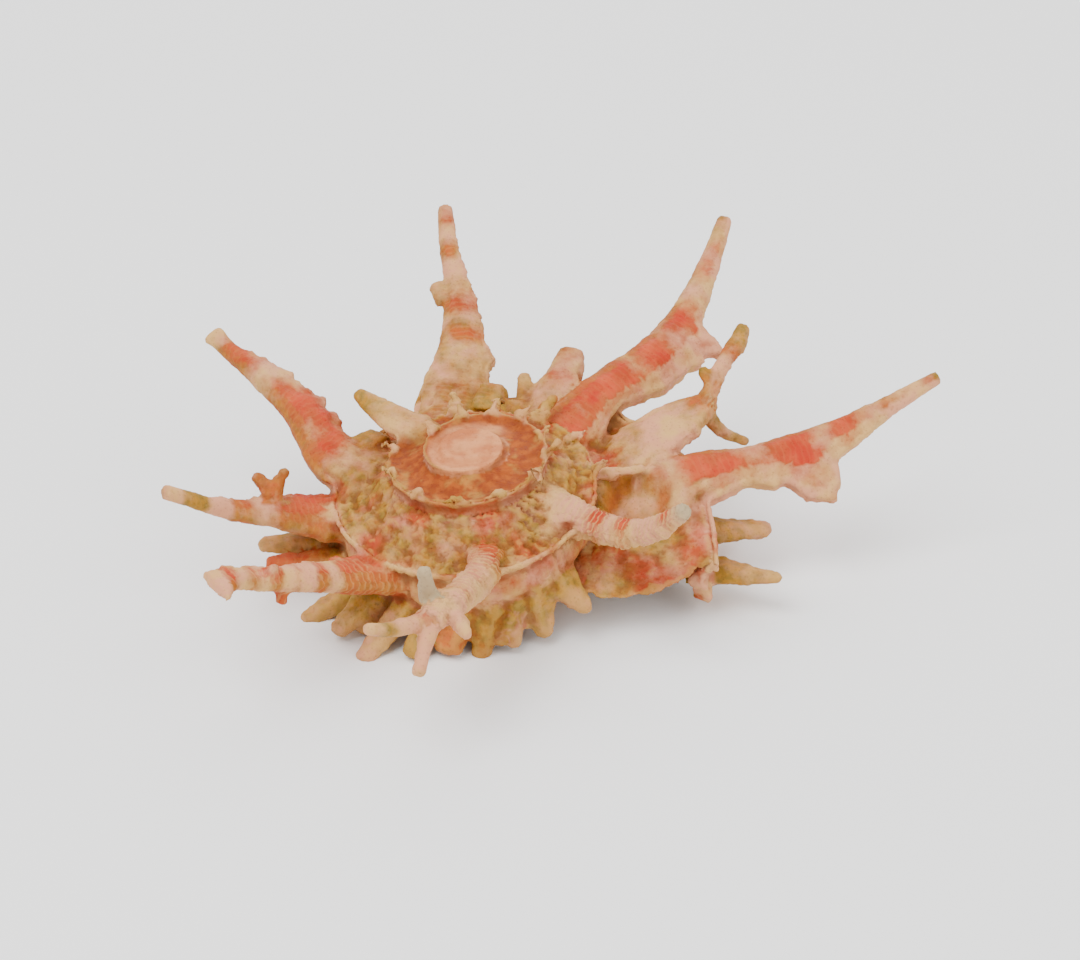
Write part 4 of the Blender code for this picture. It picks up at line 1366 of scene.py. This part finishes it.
@dataclass
class ShellBody:
    """The skin of the shell with its relief and its colour masks."""

    growth: Growth = field(default_factory=Growth)
    bowl: Bowl = field(default_factory=Bowl)
    voxel: float = 0.22
    triangles: int = 190000
    smooth_steps: int = 2
    hollow_steps: int = 14

    def settle(self, piece: bpy.types.Object) -> None:
        """Replace a mesh by what its modifiers make of it."""
        depsgraph = bpy.context.evaluated_depsgraph_get()
        mesh = bpy.data.meshes.new_from_object(piece.evaluated_get(depsgraph))
        piece.modifiers.clear()
        piece.data = mesh

    def skin(self, piece: bpy.types.Object) -> None:
        """Turn crossing tubes into one even skin."""
        remesh = piece.modifiers.new("skin", "REMESH")
        remesh.mode = "VOXEL"
        remesh.voxel_size = self.voxel * MM
        remesh.adaptivity = 0.0

    def build(self) -> bpy.types.Object:
        """Build the shell, from crossing tubes to the dressed skin.

        Returns:
            The shell with its colour masks, still without materials.
        """
        piece = self.growth.solid()
        cutter = self.growth.hollow()
        self.skin(piece)
        ease = piece.modifiers.new("ease", "SMOOTH")
        ease.factor = 0.5
        ease.iterations = self.smooth_steps
        cut = piece.modifiers.new("hollow", "BOOLEAN")
        cut.operation = "DIFFERENCE"
        cut.solver = "EXACT"
        cut.object = cutter
        self.skin(piece)
        self.settle(piece)
        bpy.data.objects.remove(cutter, do_unlink=True)
        self.keep_largest(piece)
        reader = SkinReader(self.growth)
        self.raise_relief(piece, reader)
        self.thin_out(piece)
        self.trim_at_table(piece)
        self.paint(piece, reader)
        self.set_points(piece, self.bowl.press(self.points_of(piece)))
        return piece

    @staticmethod
    def keep_largest(piece: bpy.types.Object) -> None:
        """Drop the crumbs that the cut leaves beside the main body."""
        bm = bmesh.new()
        bm.from_mesh(piece.data)
        bm.verts.ensure_lookup_table()
        unseen = set(bm.verts)
        largest: set[bmesh.types.BMVert] = set()
        while unseen:
            start = unseen.pop()
            body = {start}
            front = [start]
            while front:
                vert = front.pop()
                for edge in vert.link_edges:
                    other = edge.other_vert(vert)
                    if other in unseen:
                        unseen.discard(other)
                        body.add(other)
                        front.append(other)
            if len(body) > len(largest):
                largest = body
        bmesh.ops.delete(bm, geom=[v for v in bm.verts if v not in largest], context="VERTS")
        bm.to_mesh(piece.data)
        bm.free()

    def points_of(self, piece: bpy.types.Object) -> Array:
        """Points of a mesh in millimetres from the coil axis."""
        flat = np.empty(len(piece.data.vertices) * 3)
        piece.data.vertices.foreach_get("co", flat)
        return flat.reshape(-1, 3) / MM - np.array(self.growth.offset)

    def set_points(self, piece: bpy.types.Object, points: Array) -> None:
        """Move the points of a mesh, given in millimetres from the coil axis."""
        moved = (points + np.array(self.growth.offset)) * MM
        piece.data.vertices.foreach_set("co", moved.reshape(-1))
        piece.data.update()

    @staticmethod
    def normals_of(piece: bpy.types.Object) -> Array:
        """Outward directions at the points of a mesh."""
        flat = np.empty(len(piece.data.vertices) * 3, dtype=np.float32)
        piece.data.vertex_normals.foreach_get("vector", flat)
        return flat.reshape(-1, 3).astype(float)

    def raise_relief(self, piece: bpy.types.Object, reader: SkinReader) -> None:
        """Push the skin out and in along its normals."""
        points = self.points_of(piece)
        reading = reader.read(points)
        relief = Relief(self.growth.coil)
        height = relief.height(reading, SoftNoise(3), SoftNoise(8))
        height = height * (1.0 - 0.6 * self.bowl.share(points))
        points = points + self.normals_of(piece) * height[:, None]
        self.set_points(piece, points)

    def thin_out(self, piece: bpy.types.Object) -> None:
        """Bring the mesh down to its number of triangles."""
        count = sum(len(face.vertices) - 2 for face in piece.data.polygons)
        thin = piece.modifiers.new("thin", "DECIMATE")
        thin.ratio = self.triangles / count
        thin.use_collapse_triangulate = True
        self.settle(piece)

    def trim_at_table(self, piece: bpy.types.Object) -> None:
        """Cut what would reach under the table and close the cuts."""
        bm = bmesh.new()
        bm.from_mesh(piece.data)
        geometry = [*bm.verts, *bm.edges, *bm.faces]
        bmesh.ops.bisect_plane(
            bm, geom=geometry, dist=1e-7, plane_co=(0.0, 0.0, 0.0), plane_no=(0.0, 0.0, 1.0),
            clear_inner=True,
        )
        rims = [edge for edge in bm.edges if edge.is_boundary]
        bmesh.ops.holes_fill(bm, edges=rims, sides=0)
        bmesh.ops.triangulate(bm, faces=[face for face in bm.faces if len(face.verts) > 4])
        bmesh.ops.recalc_face_normals(bm, faces=bm.faces)
        bm.to_mesh(piece.data)
        bm.free()

    def depth_in_relief(self, piece: bpy.types.Object, steps: int, width: float) -> Array:
        """How far each point lies over or under the eased skin.

        Args:
            piece: The object to measure.
            steps: Rounds of easing.
            width: Height in millimetres that counts as one.

        Returns:
            Values from -1 in pits to 1 on crests.
        """
        mesh = piece.data
        ends = np.empty(len(mesh.edges) * 2, dtype=np.int64)
        mesh.edges.foreach_get("vertices", ends)
        ends = ends.reshape(-1, 2)
        count = len(mesh.vertices)
        links = np.bincount(ends.reshape(-1), minlength=count).astype(float)
        start = self.points_of(piece)
        eased = start.copy()
        for _ in range(steps):
            total = np.empty_like(eased)
            for axis in range(3):
                total[:, axis] = np.bincount(
                    ends[:, 0], weights=eased[ends[:, 1], axis], minlength=count
                ) + np.bincount(ends[:, 1], weights=eased[ends[:, 0], axis], minlength=count)
            eased = total / links[:, None]
        gap = ((start - eased) * self.normals_of(piece)).sum(axis=1)
        return np.clip(gap / width, -1.0, 1.0)

    def paint(self, piece: bpy.types.Object, reader: SkinReader) -> None:
        """Store the colour masks that the finishes read, with the masks of painted highlight and painted shade."""
        points = self.points_of(piece)
        reading = reader.read(points)
        masks = ColourMap().masks(reading)
        sunk = self.bowl.share(points) * (1.0 - reading.short_share)
        middle = smoothstep((0.75 - self.bowl.reach(points)) / 0.4)
        for name, level in (("coral", 0.55 - 0.4 * middle), ("cream", 0.10 + 0.45 * middle), ("ochre", 0.85)):
            masks[name] = masks[name] + (level - masks[name]) * sunk
        relief = Relief(self.growth.coil)
        # Painted highlight and painted shade: this relief mask lightens ridges and darkens pits in the outer colour,
        # weaker on the keel and on the wall near the lip.
        keel = np.exp(-(((reading.across - 0.30) / 0.05) ** 2)) * smoothstep((1.1 - reading.turn) / 0.1)
        calm = 1.0 - 0.7 * smoothstep((0.20 - reading.turn) / 0.12) * smoothstep((reading.across - 0.30) / 0.06)
        masks["ridge_highlight_pit_shade"] = self.depth_in_relief(piece, 10, 0.16) * (1.0 - 0.7 * keel) * calm
        # Painted shade: the broad relief darkens the deep valleys of the skin.
        masks["valley_shade_depth"] = self.depth_in_relief(piece, 60, 0.9)
        masks["growth"] = relief.growth_length(reading.age)
        masks["spine"] = reading.spine_share
        masks["ringed"] = np.clip(spine_ringing(reading) / 1.5, 0.0, 1.0) * reading.spine_share
        masks["spine_length"] = reading.spine_length + 0.7 * reading.spine_side ** 2
        masks["hollow"] = reading.hollow_share
        for name, values in masks.items():
            layer = piece.data.attributes.new(name, "FLOAT", "POINT")
            layer.data.foreach_set("value", np.asarray(values, dtype=np.float32))
        corners = np.empty(len(piece.data.polygons), dtype=np.int64)
        piece.data.polygons.foreach_get("loop_start", corners)
        first = np.empty(len(piece.data.loops), dtype=np.int64)
        piece.data.loops.foreach_get("vertex_index", first)
        inner = reading.hollow_share[first[corners]] > 0.5
        piece.data.polygons.foreach_set("material_index", inner.astype(np.int32))
        piece.data.polygons.foreach_set("use_smooth", np.ones(len(inner), dtype=bool))


@dataclass
class Graph:
    """Short ways to add and join the nodes of one tree."""

    tree: bpy.types.NodeTree

    def add(self, kind: str, **settings: object) -> bpy.types.Node:
        """Add a node and set its properties."""
        node = self.tree.nodes.new(kind)
        for name, value in settings.items():
            setattr(node, name, value)
        return node

    def feed(self, socket: bpy.types.NodeSocket, source: object) -> None:
        """Join a socket to another, or give it a plain value."""
        if isinstance(source, bpy.types.NodeSocket):
            self.tree.links.new(source, socket)
        elif source is not None:
            socket.default_value = source

    def math(self, operation: str, *sources: object, clamp: bool = False) -> bpy.types.NodeSocket:
        """Add a math node and give back its result."""
        node = self.add("ShaderNodeMath", operation=operation, use_clamp=clamp)
        for socket, source in zip(node.inputs, sources):
            self.feed(socket, source)
        return node.outputs[0]

    def mix(self, share: object, first: object, second: object, blend: str = "MIX") -> bpy.types.NodeSocket:
        """Mix two colours and give back the result."""
        node = self.add("ShaderNodeMix", data_type="RGBA", blend_type=blend)
        self.feed(node.inputs[0], share)
        self.feed(node.inputs[6], first)
        self.feed(node.inputs[7], second)
        return node.outputs[2]

    def spread(self, value: object, low: float, high: float, first: float = 0.0, last: float = 1.0) -> bpy.types.NodeSocket:
        """Map a range of values softly to another."""
        node = self.add("ShaderNodeMapRange", interpolation_type="SMOOTHSTEP")
        for socket, source in zip(node.inputs, (value, low, high, first, last)):
            self.feed(socket, source)
        return node.outputs[0]

    def attribute(self, name: str) -> bpy.types.NodeSocket:
        """Read a value stored on the mesh."""
        node = self.add("ShaderNodeAttribute", attribute_name=name, attribute_type="GEOMETRY")
        return node.outputs["Fac"]

    def noise(self, place: object, cell: float, detail: float, roughness: float = 0.55) -> bpy.types.NodeSocket:
        """Soft noise with lumps of a size in millimetres."""
        node = self.add("ShaderNodeTexNoise")
        self.feed(node.inputs["Vector"], place)
        node.inputs["Scale"].default_value = 1.0 / (cell * MM)
        node.inputs["Detail"].default_value = detail
        node.inputs["Roughness"].default_value = roughness
        return node.outputs["Fac"]

    def group(self, tree: bpy.types.NodeTree, **sources: object) -> bpy.types.Node:
        """Place a node group; underscores in names stand for spaces."""
        node = self.add("ShaderNodeGroup", node_tree=tree)
        for name, source in sources.items():
            self.feed(node.inputs[name.replace("_", " ").capitalize()], source)
        return node


class SharedEffects:
    """Node groups that both finishes of the shell use."""

    def __init__(self) -> None:
        """Build every group once."""
        self.ragged = self.build_ragged()
        self.lines = self.build_lines()
        self.grain = self.build_grain()

    @staticmethod
    def open_group(name: str, inputs: dict[str, tuple[str, float | None]], outputs: tuple[str, ...]) -> tuple[Graph, bpy.types.Node, bpy.types.Node]:
        """Start a group with named sockets.

        Args:
            name: Name of the group.
            inputs: Kind and preset of every input.
            outputs: Names of the value outputs.

        Returns:
            The graph and its input and output nodes.
        """
        tree = bpy.data.node_groups.new(name, "ShaderNodeTree")
        for title, (kind, preset) in inputs.items():
            socket = tree.interface.new_socket(title, in_out="INPUT", socket_type=kind)
            if preset is not None:
                socket.default_value = preset
        for title in outputs:
            tree.interface.new_socket(title, in_out="OUTPUT", socket_type="NodeSocketFloat")
        graph = Graph(tree)
        return graph, graph.add("NodeGroupInput"), graph.add("NodeGroupOutput")

    def build_ragged(self) -> bpy.types.NodeTree:
        """A mask whose edge is broken up by noise."""
        inputs = {
            "Mask": ("NodeSocketFloat", 0.5),
            "Place": ("NodeSocketVector", None),
            "Scale": ("NodeSocketFloat", 700.0),
            "Spread": ("NodeSocketFloat", 0.8),
            "Softness": ("NodeSocketFloat", 0.3),
        }
        graph, given, result = self.open_group("ragged_mask", inputs, ("Mask",))
        noise = graph.add("ShaderNodeTexNoise")
        noise.inputs["Detail"].default_value = 4.0
        noise.inputs["Roughness"].default_value = 0.6
        graph.feed(noise.inputs["Vector"], given.outputs["Place"])
        graph.feed(noise.inputs["Scale"], given.outputs["Scale"])
        centred = graph.math("SUBTRACT", noise.outputs["Fac"], 0.5)
        swing = graph.math("MULTIPLY", centred, given.outputs["Spread"])
        moved = graph.math("ADD", given.outputs["Mask"], swing)
        level = graph.math("SUBTRACT", moved, 0.5)
        steep = graph.math("DIVIDE", level, given.outputs["Softness"])
        mask = graph.math("ADD", steep, 0.5, clamp=True)
        graph.feed(result.inputs["Mask"], mask)
        return graph.tree

    def build_lines(self) -> bpy.types.NodeTree:
        """Fine lines at an even pitch along a length, wavering a little."""
        inputs = {
            "Length": ("NodeSocketFloat", 0.0),
            "Place": ("NodeSocketVector", None),
            "Pitch": ("NodeSocketFloat", 0.4),
            "Waver": ("NodeSocketFloat", 0.5),
        }
        graph, given, result = self.open_group("growth_lines", inputs, ("Line",))
        noise = graph.noise(given.outputs["Place"], 1.6, 2.0)
        swing = graph.math("MULTIPLY", noise, given.outputs["Waver"])
        moved = graph.math("ADD", given.outputs["Length"], swing)
        phase = graph.math("DIVIDE", moved, given.outputs["Pitch"])
        angle = graph.math("MULTIPLY", phase, math.tau)
        wave = graph.math("SINE", angle)
        line = graph.math("MULTIPLY_ADD", wave, 0.5, 0.5)
        graph.feed(result.inputs["Line"], line)
        return graph.tree

    def build_grain(self) -> bpy.types.NodeTree:
        """Fine chalky grain with small pits."""
        inputs = {
            "Place": ("NodeSocketVector", None),
            "Scale": ("NodeSocketFloat", 2500.0),
            "Pits": ("NodeSocketFloat", 0.5),
        }
        graph, given, result = self.open_group("chalky_grain", inputs, ("Height", "Pit"))
        noise = graph.add("ShaderNodeTexNoise")
        noise.inputs["Detail"].default_value = 5.0
        noise.inputs["Roughness"].default_value = 0.65
        graph.feed(noise.inputs["Vector"], given.outputs["Place"])
        graph.feed(noise.inputs["Scale"], given.outputs["Scale"])
        cells = graph.add("ShaderNodeTexVoronoi", feature="F1")
        graph.feed(cells.inputs["Vector"], given.outputs["Place"])
        graph.feed(cells.inputs["Scale"], given.outputs["Scale"])
        pit = graph.spread(cells.outputs["Distance"], 0.10, 0.34, 1.0, 0.0)
        pit = graph.math("MULTIPLY", pit, given.outputs["Pits"])
        height = graph.math("SUBTRACT", noise.outputs["Fac"], pit)
        graph.feed(result.inputs["Height"], height)
        graph.feed(result.inputs["Pit"], pit)
        return graph.tree


Colour = tuple[float, float, float, float]


def paint_colour(red: int, green: int, blue: int) -> Colour:
    """Colour of a paint from its values as seen on a screen."""
    def linear(value: int) -> float:
        """Light of one channel."""
        part = value / 255.0
        return part / 12.92 if part <= 0.04045 else ((part + 0.055) / 1.055) ** 2.4
    return (linear(red), linear(green), linear(blue), 1.0)


@dataclass(frozen=True)
class OuterFinish:
    """The coral, cream and ochre outside of the shell, with painted highlights on ridges and painted shade in pits and
    valleys.
    """

    tan: Colour = paint_colour(132, 72, 26)
    ochre: Colour = paint_colour(164, 116, 36)
    olive: Colour = paint_colour(128, 100, 36)
    coral: Colour = paint_colour(176, 48, 24)
    salmon: Colour = paint_colour(190, 76, 42)
    cream: Colour = paint_colour(204, 158, 96)
    blush: Colour = paint_colour(206, 142, 108)
    dish: Colour = paint_colour(132, 54, 14)
    dish_light: Colour = paint_colour(172, 86, 28)
    disk: Colour = paint_colour(183, 105, 60)
    disk_light: Colour = paint_colour(209, 138, 88)
    # Painted highlight on the ridges of the relief; also the pale patches in the dish.
    pit: Colour = paint_colour(72, 28, 8)
    # Painted shade colour of the deep valleys and of the small grain pits.
    highlight_and_pale_patch: Colour = paint_colour(188, 144, 66)
    # Painted shade in the pits of the relief.
    furrow: Colour = paint_colour(112, 52, 16)
    chalk: Colour = paint_colour(168, 150, 116)
    roughness: float = 0.62
    gloss: float = 0.14

    def material(self, effects: SharedEffects) -> bpy.types.Material:
        """Build the material of the outside."""
        material = bpy.data.materials.new("shell_outside")
        material.use_nodes = True
        graph = Graph(material.node_tree)
        shader = material.node_tree.nodes["Principled BSDF"]
        place = graph.add("ShaderNodeTexCoord").outputs["Object"]
        spine = graph.attribute("spine")
        ringed = graph.attribute("ringed")
        length = graph.attribute("growth")
        spine_length = graph.attribute("spine_length")
        ridge_highlight_pit_shade = graph.attribute("ridge_highlight_pit_shade")
        valley_shade_depth = graph.attribute("valley_shade_depth")
        slow = graph.noise(place, 3.2, 3.0)
        quick = graph.noise(place, 0.9, 4.0)
        growth = graph.group(effects.lines, Length=length, Place=place, Pitch=0.42, Waver=0.9)
        rings = graph.group(effects.lines, Length=spine_length, Place=place, Pitch=0.62, Waver=0.5)
        line = graph.add("ShaderNodeMix", data_type="FLOAT")
        graph.feed(line.inputs[0], spine)
        graph.feed(line.inputs[2], growth.outputs["Line"])
        graph.feed(line.inputs[3], rings.outputs["Line"])
        line = line.outputs[0]
        ochre = self.patch(graph, effects, "ochre", place, 900.0, 1.1, 0.55)
        coral = self.patch(graph, effects, "coral", place, 480.0, 0.8, 0.90)
        cream = self.patch(graph, effects, "cream", place, 700.0, 1.0, 0.60)
        ochre_tone = graph.mix(graph.spread(quick, 0.35, 0.65), self.olive, self.ochre)
        coral_tone = graph.mix(graph.spread(slow, 0.38, 0.62), self.coral, self.salmon)
        cream_tone = graph.mix(graph.spread(slow, 0.40, 0.66), self.blush, self.cream)
        colour = graph.mix(ochre, self.tan, ochre_tone)
        colour = graph.mix(coral, colour, coral_tone)
        colour = graph.mix(cream, colour, cream_tone)
        stripes = graph.group(effects.lines, Length=length, Place=place, Pitch=2.3, Waver=2.6)
        stripe = graph.math("MULTIPLY", graph.spread(stripes.outputs["Line"], 0.1, 0.9), graph.spread(quick, 0.3, 0.6))
        stripe = graph.math("MULTIPLY_ADD", stripe, 0.40, graph.spread(quick, 0.35, 0.65, 0.0, 0.45), clamp=True)
        dish_tone = graph.mix(stripe, self.dish, self.dish_light)
        dish_tone = graph.mix(graph.spread(slow, 0.52, 0.70, 0.0, 0.6), dish_tone, self.highlight_and_pale_patch)
        dish = graph.attribute("dish")
        colour = graph.mix(dish, colour, dish_tone)
        disk_tone = graph.mix(graph.spread(slow, 0.35, 0.6), self.disk, self.disk_light)
        disk = graph.attribute("disk")
        colour = graph.mix(disk, colour, disk_tone)
        bare = graph.math("SUBTRACT", 1.0, disk)
        # Painted highlight: ridges of the relief are lightened, less on the disk and on the spines.
        high = graph.spread(ridge_highlight_pit_shade, 0.15, 1.0, 0.0, 0.42)
        rugged = graph.math("MULTIPLY_ADD", spine, -0.75, 1.0)
        high = graph.math("MULTIPLY", graph.math("MULTIPLY", high, bare), rugged)
        colour = graph.mix(high, colour, self.highlight_and_pale_patch)
        ring_light = graph.math("MULTIPLY", graph.spread(line, 0.55, 1.0), ringed)
        colour = graph.mix(graph.math("MULTIPLY", ring_light, 0.55), colour, self.cream)
        # Painted shade: pits of the relief are darkened, less on the spines and in the dish.
        low = graph.spread(ridge_highlight_pit_shade, -0.9, -0.05, 0.50, 0.0)
        low = graph.math("MULTIPLY", low, graph.math("MULTIPLY_ADD", dish, -0.6, rugged, clamp=True))
        colour = graph.mix(low, colour, self.furrow)
        # Painted shade in the deep valleys of the broad relief.
        valley_shade_share = graph.spread(valley_shade_depth, -0.9, 0.0, 0.35, 0.0)
        colour = graph.mix(valley_shade_share, colour, self.pit)
        colour = graph.mix(graph.attribute("chalk"), colour, self.chalk)
        grain = graph.group(effects.grain, Place=place, Scale=2600.0, Pits=0.5)
        # Painted shade in the small pits of the grain.
        grain_pit_shade = graph.math("MULTIPLY", grain.outputs["Pit"], 0.35)
        colour = graph.mix(grain_pit_shade, colour, self.pit)
        graph.feed(shader.inputs["Base Color"], colour)
        shader.inputs["Specular IOR Level"].default_value = self.gloss
        rough = graph.spread(quick, 0.3, 0.7, self.roughness - 0.10, self.roughness + 0.14)
        graph.feed(shader.inputs["Roughness"], rough)
        lined = graph.math("MULTIPLY", line, graph.math("MAXIMUM", ringed, 0.15))
        height = graph.math("MULTIPLY_ADD", lined, 0.6, grain.outputs["Height"])
        bump = graph.add("ShaderNodeBump")
        bump.inputs["Strength"].default_value = 0.55
        bump.inputs["Distance"].default_value = 0.10 * MM
        graph.feed(bump.inputs["Height"], height)
        graph.feed(shader.inputs["Normal"], bump.outputs["Normal"])
        return material

    @staticmethod
    def patch(graph: Graph, effects: SharedEffects, name: str, place: object, scale: float, spread: float, softness: float) -> bpy.types.NodeSocket:
        """One colour mask with a ragged edge."""
        node = graph.group(
            effects.ragged, Mask=graph.attribute(name), Place=place, Scale=scale, Spread=spread, Softness=softness
        )
        return node.outputs["Mask"]


@dataclass(frozen=True)
class PearlFinish:
    """The pearly lining of the last whorl."""

    white: Colour = paint_colour(236, 230, 222)
    rose: Colour = paint_colour(236, 206, 204)
    green: Colour = paint_colour(206, 224, 210)
    roughness: float = 0.24

    def material(self, effects: SharedEffects) -> bpy.types.Material:
        """Build the material of the lining."""
        material = bpy.data.materials.new("shell_pearl")
        material.use_nodes = True
        graph = Graph(material.node_tree)
        shader = material.node_tree.nodes["Principled BSDF"]
        place = graph.add("ShaderNodeTexCoord").outputs["Object"]
        length = graph.attribute("growth")
        lines = graph.group(effects.lines, Length=length, Place=place, Pitch=1.1, Waver=2.0)
        slow = graph.noise(place, 5.0, 2.0)
        colour = graph.mix(graph.spread(slow, 0.38, 0.52), self.rose, self.white)
        colour = graph.mix(graph.spread(slow, 0.52, 0.66), colour, self.green)
        faint = graph.math("MULTIPLY", lines.outputs["Line"], 0.12)
        colour = graph.mix(faint, colour, self.white)
        graph.feed(shader.inputs["Base Color"], colour)
        shader.inputs["Roughness"].default_value = self.roughness
        shader.inputs["Coat Weight"].default_value = 0.35
        shader.inputs["Coat Roughness"].default_value = 0.12
        grain = graph.group(effects.grain, Place=place, Scale=1400.0, Pits=0.1)
        bump = graph.add("ShaderNodeBump")
        bump.inputs["Strength"].default_value = 0.2
        bump.inputs["Distance"].default_value = 0.05 * MM
        graph.feed(bump.inputs["Height"], grain.outputs["Height"])
        graph.feed(shader.inputs["Normal"], bump.outputs["Normal"])
        return material


@dataclass
class Studio:
    """The pale floor, the soft lights and the camera."""

    target: tuple[float, float, float] = (-0.0019, -0.0058, 0.0136)
    elevation: float = 31.0
    distance: float = 0.290
    lens: float = 100.0
    floor_size: float = 3.0

    def build(self) -> bpy.types.Object:
        """Build the studio.

        Returns:
            The floor.
        """
        floor = self.floor()
        self.light("key", (-0.25, -0.20, 0.55), 0.45, 5.0)
        self.light("fill", (0.45, -0.30, 0.35), 0.50, 2.6)
        self.light("back", (0.05, 0.50, 0.40), 0.50, 2.4)
        world = bpy.data.worlds.new("soft_room")
        world.use_nodes = True
        backdrop = world.node_tree.nodes["Background"]
        backdrop.inputs["Color"].default_value = (1.0, 0.995, 0.985, 1.0)
        backdrop.inputs["Strength"].default_value = 0.85
        bpy.context.scene.world = world
        self.camera()
        return floor

    def floor(self) -> bpy.types.Object:
        """A plain pale floor."""
        bm = bmesh.new()
        bmesh.ops.create_grid(bm, x_segments=1, y_segments=1, size=self.floor_size / 2.0)
        mesh = bpy.data.meshes.new("floor")
        bm.to_mesh(mesh)
        bm.free()
        floor = bpy.data.objects.new("floor", mesh)
        material = bpy.data.materials.new("pale_floor")
        material.use_nodes = True
        shader = material.node_tree.nodes["Principled BSDF"]
        shader.inputs["Base Color"].default_value = (0.90, 0.90, 0.90, 1.0)
        shader.inputs["Roughness"].default_value = 0.9
        mesh.materials.append(material)
        bpy.context.scene.collection.objects.link(floor)
        return floor

    def light(self, name: str, place: tuple[float, float, float], size: float, power: float) -> None:
        """Add a soft square light that faces the shell."""
        lamp = bpy.data.lights.new(name, "AREA")
        lamp.shape = "SQUARE"
        lamp.size = size
        lamp.energy = power
        holder = bpy.data.objects.new(name, lamp)
        holder.location = place
        aim = Vector(self.target) - Vector(place)
        holder.rotation_euler = aim.to_track_quat("-Z", "Y").to_euler()
        bpy.context.scene.collection.objects.link(holder)

    def camera(self) -> None:
        """Stand the camera where the photograph was taken from."""
        lens = bpy.data.cameras.new("camera")
        lens.lens = self.lens
        lens.sensor_width = 36.0
        lens.clip_start = 0.01
        holder = bpy.data.objects.new("camera", lens)
        rise = math.radians(self.elevation)
        away = Vector((0.0, -math.cos(rise), math.sin(rise))) * self.distance
        holder.location = Vector(self.target) + away
        holder.rotation_euler = (math.radians(90.0 - self.elevation), 0.0, 0.0)
        bpy.context.scene.collection.objects.link(holder)
        bpy.context.scene.camera = holder


def main() -> None:
    """Build the shell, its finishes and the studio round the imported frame."""
    logging.basicConfig(level=logging.INFO, format="%(message)s")
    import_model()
    body = ShellBody()
    shell = body.build()
    effects = SharedEffects()
    shell.data.materials.append(OuterFinish().material(effects))
    shell.data.materials.append(PearlFinish().material(effects))
    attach(shell, "root")
    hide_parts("shell")
    LOG.info("shell: %d points, %d faces", len(shell.data.vertices), len(shell.data.polygons))
    floor = Studio().build()
    LOG.info("studio: floor, lights and camera")


if __name__ == "__main__":
    main()
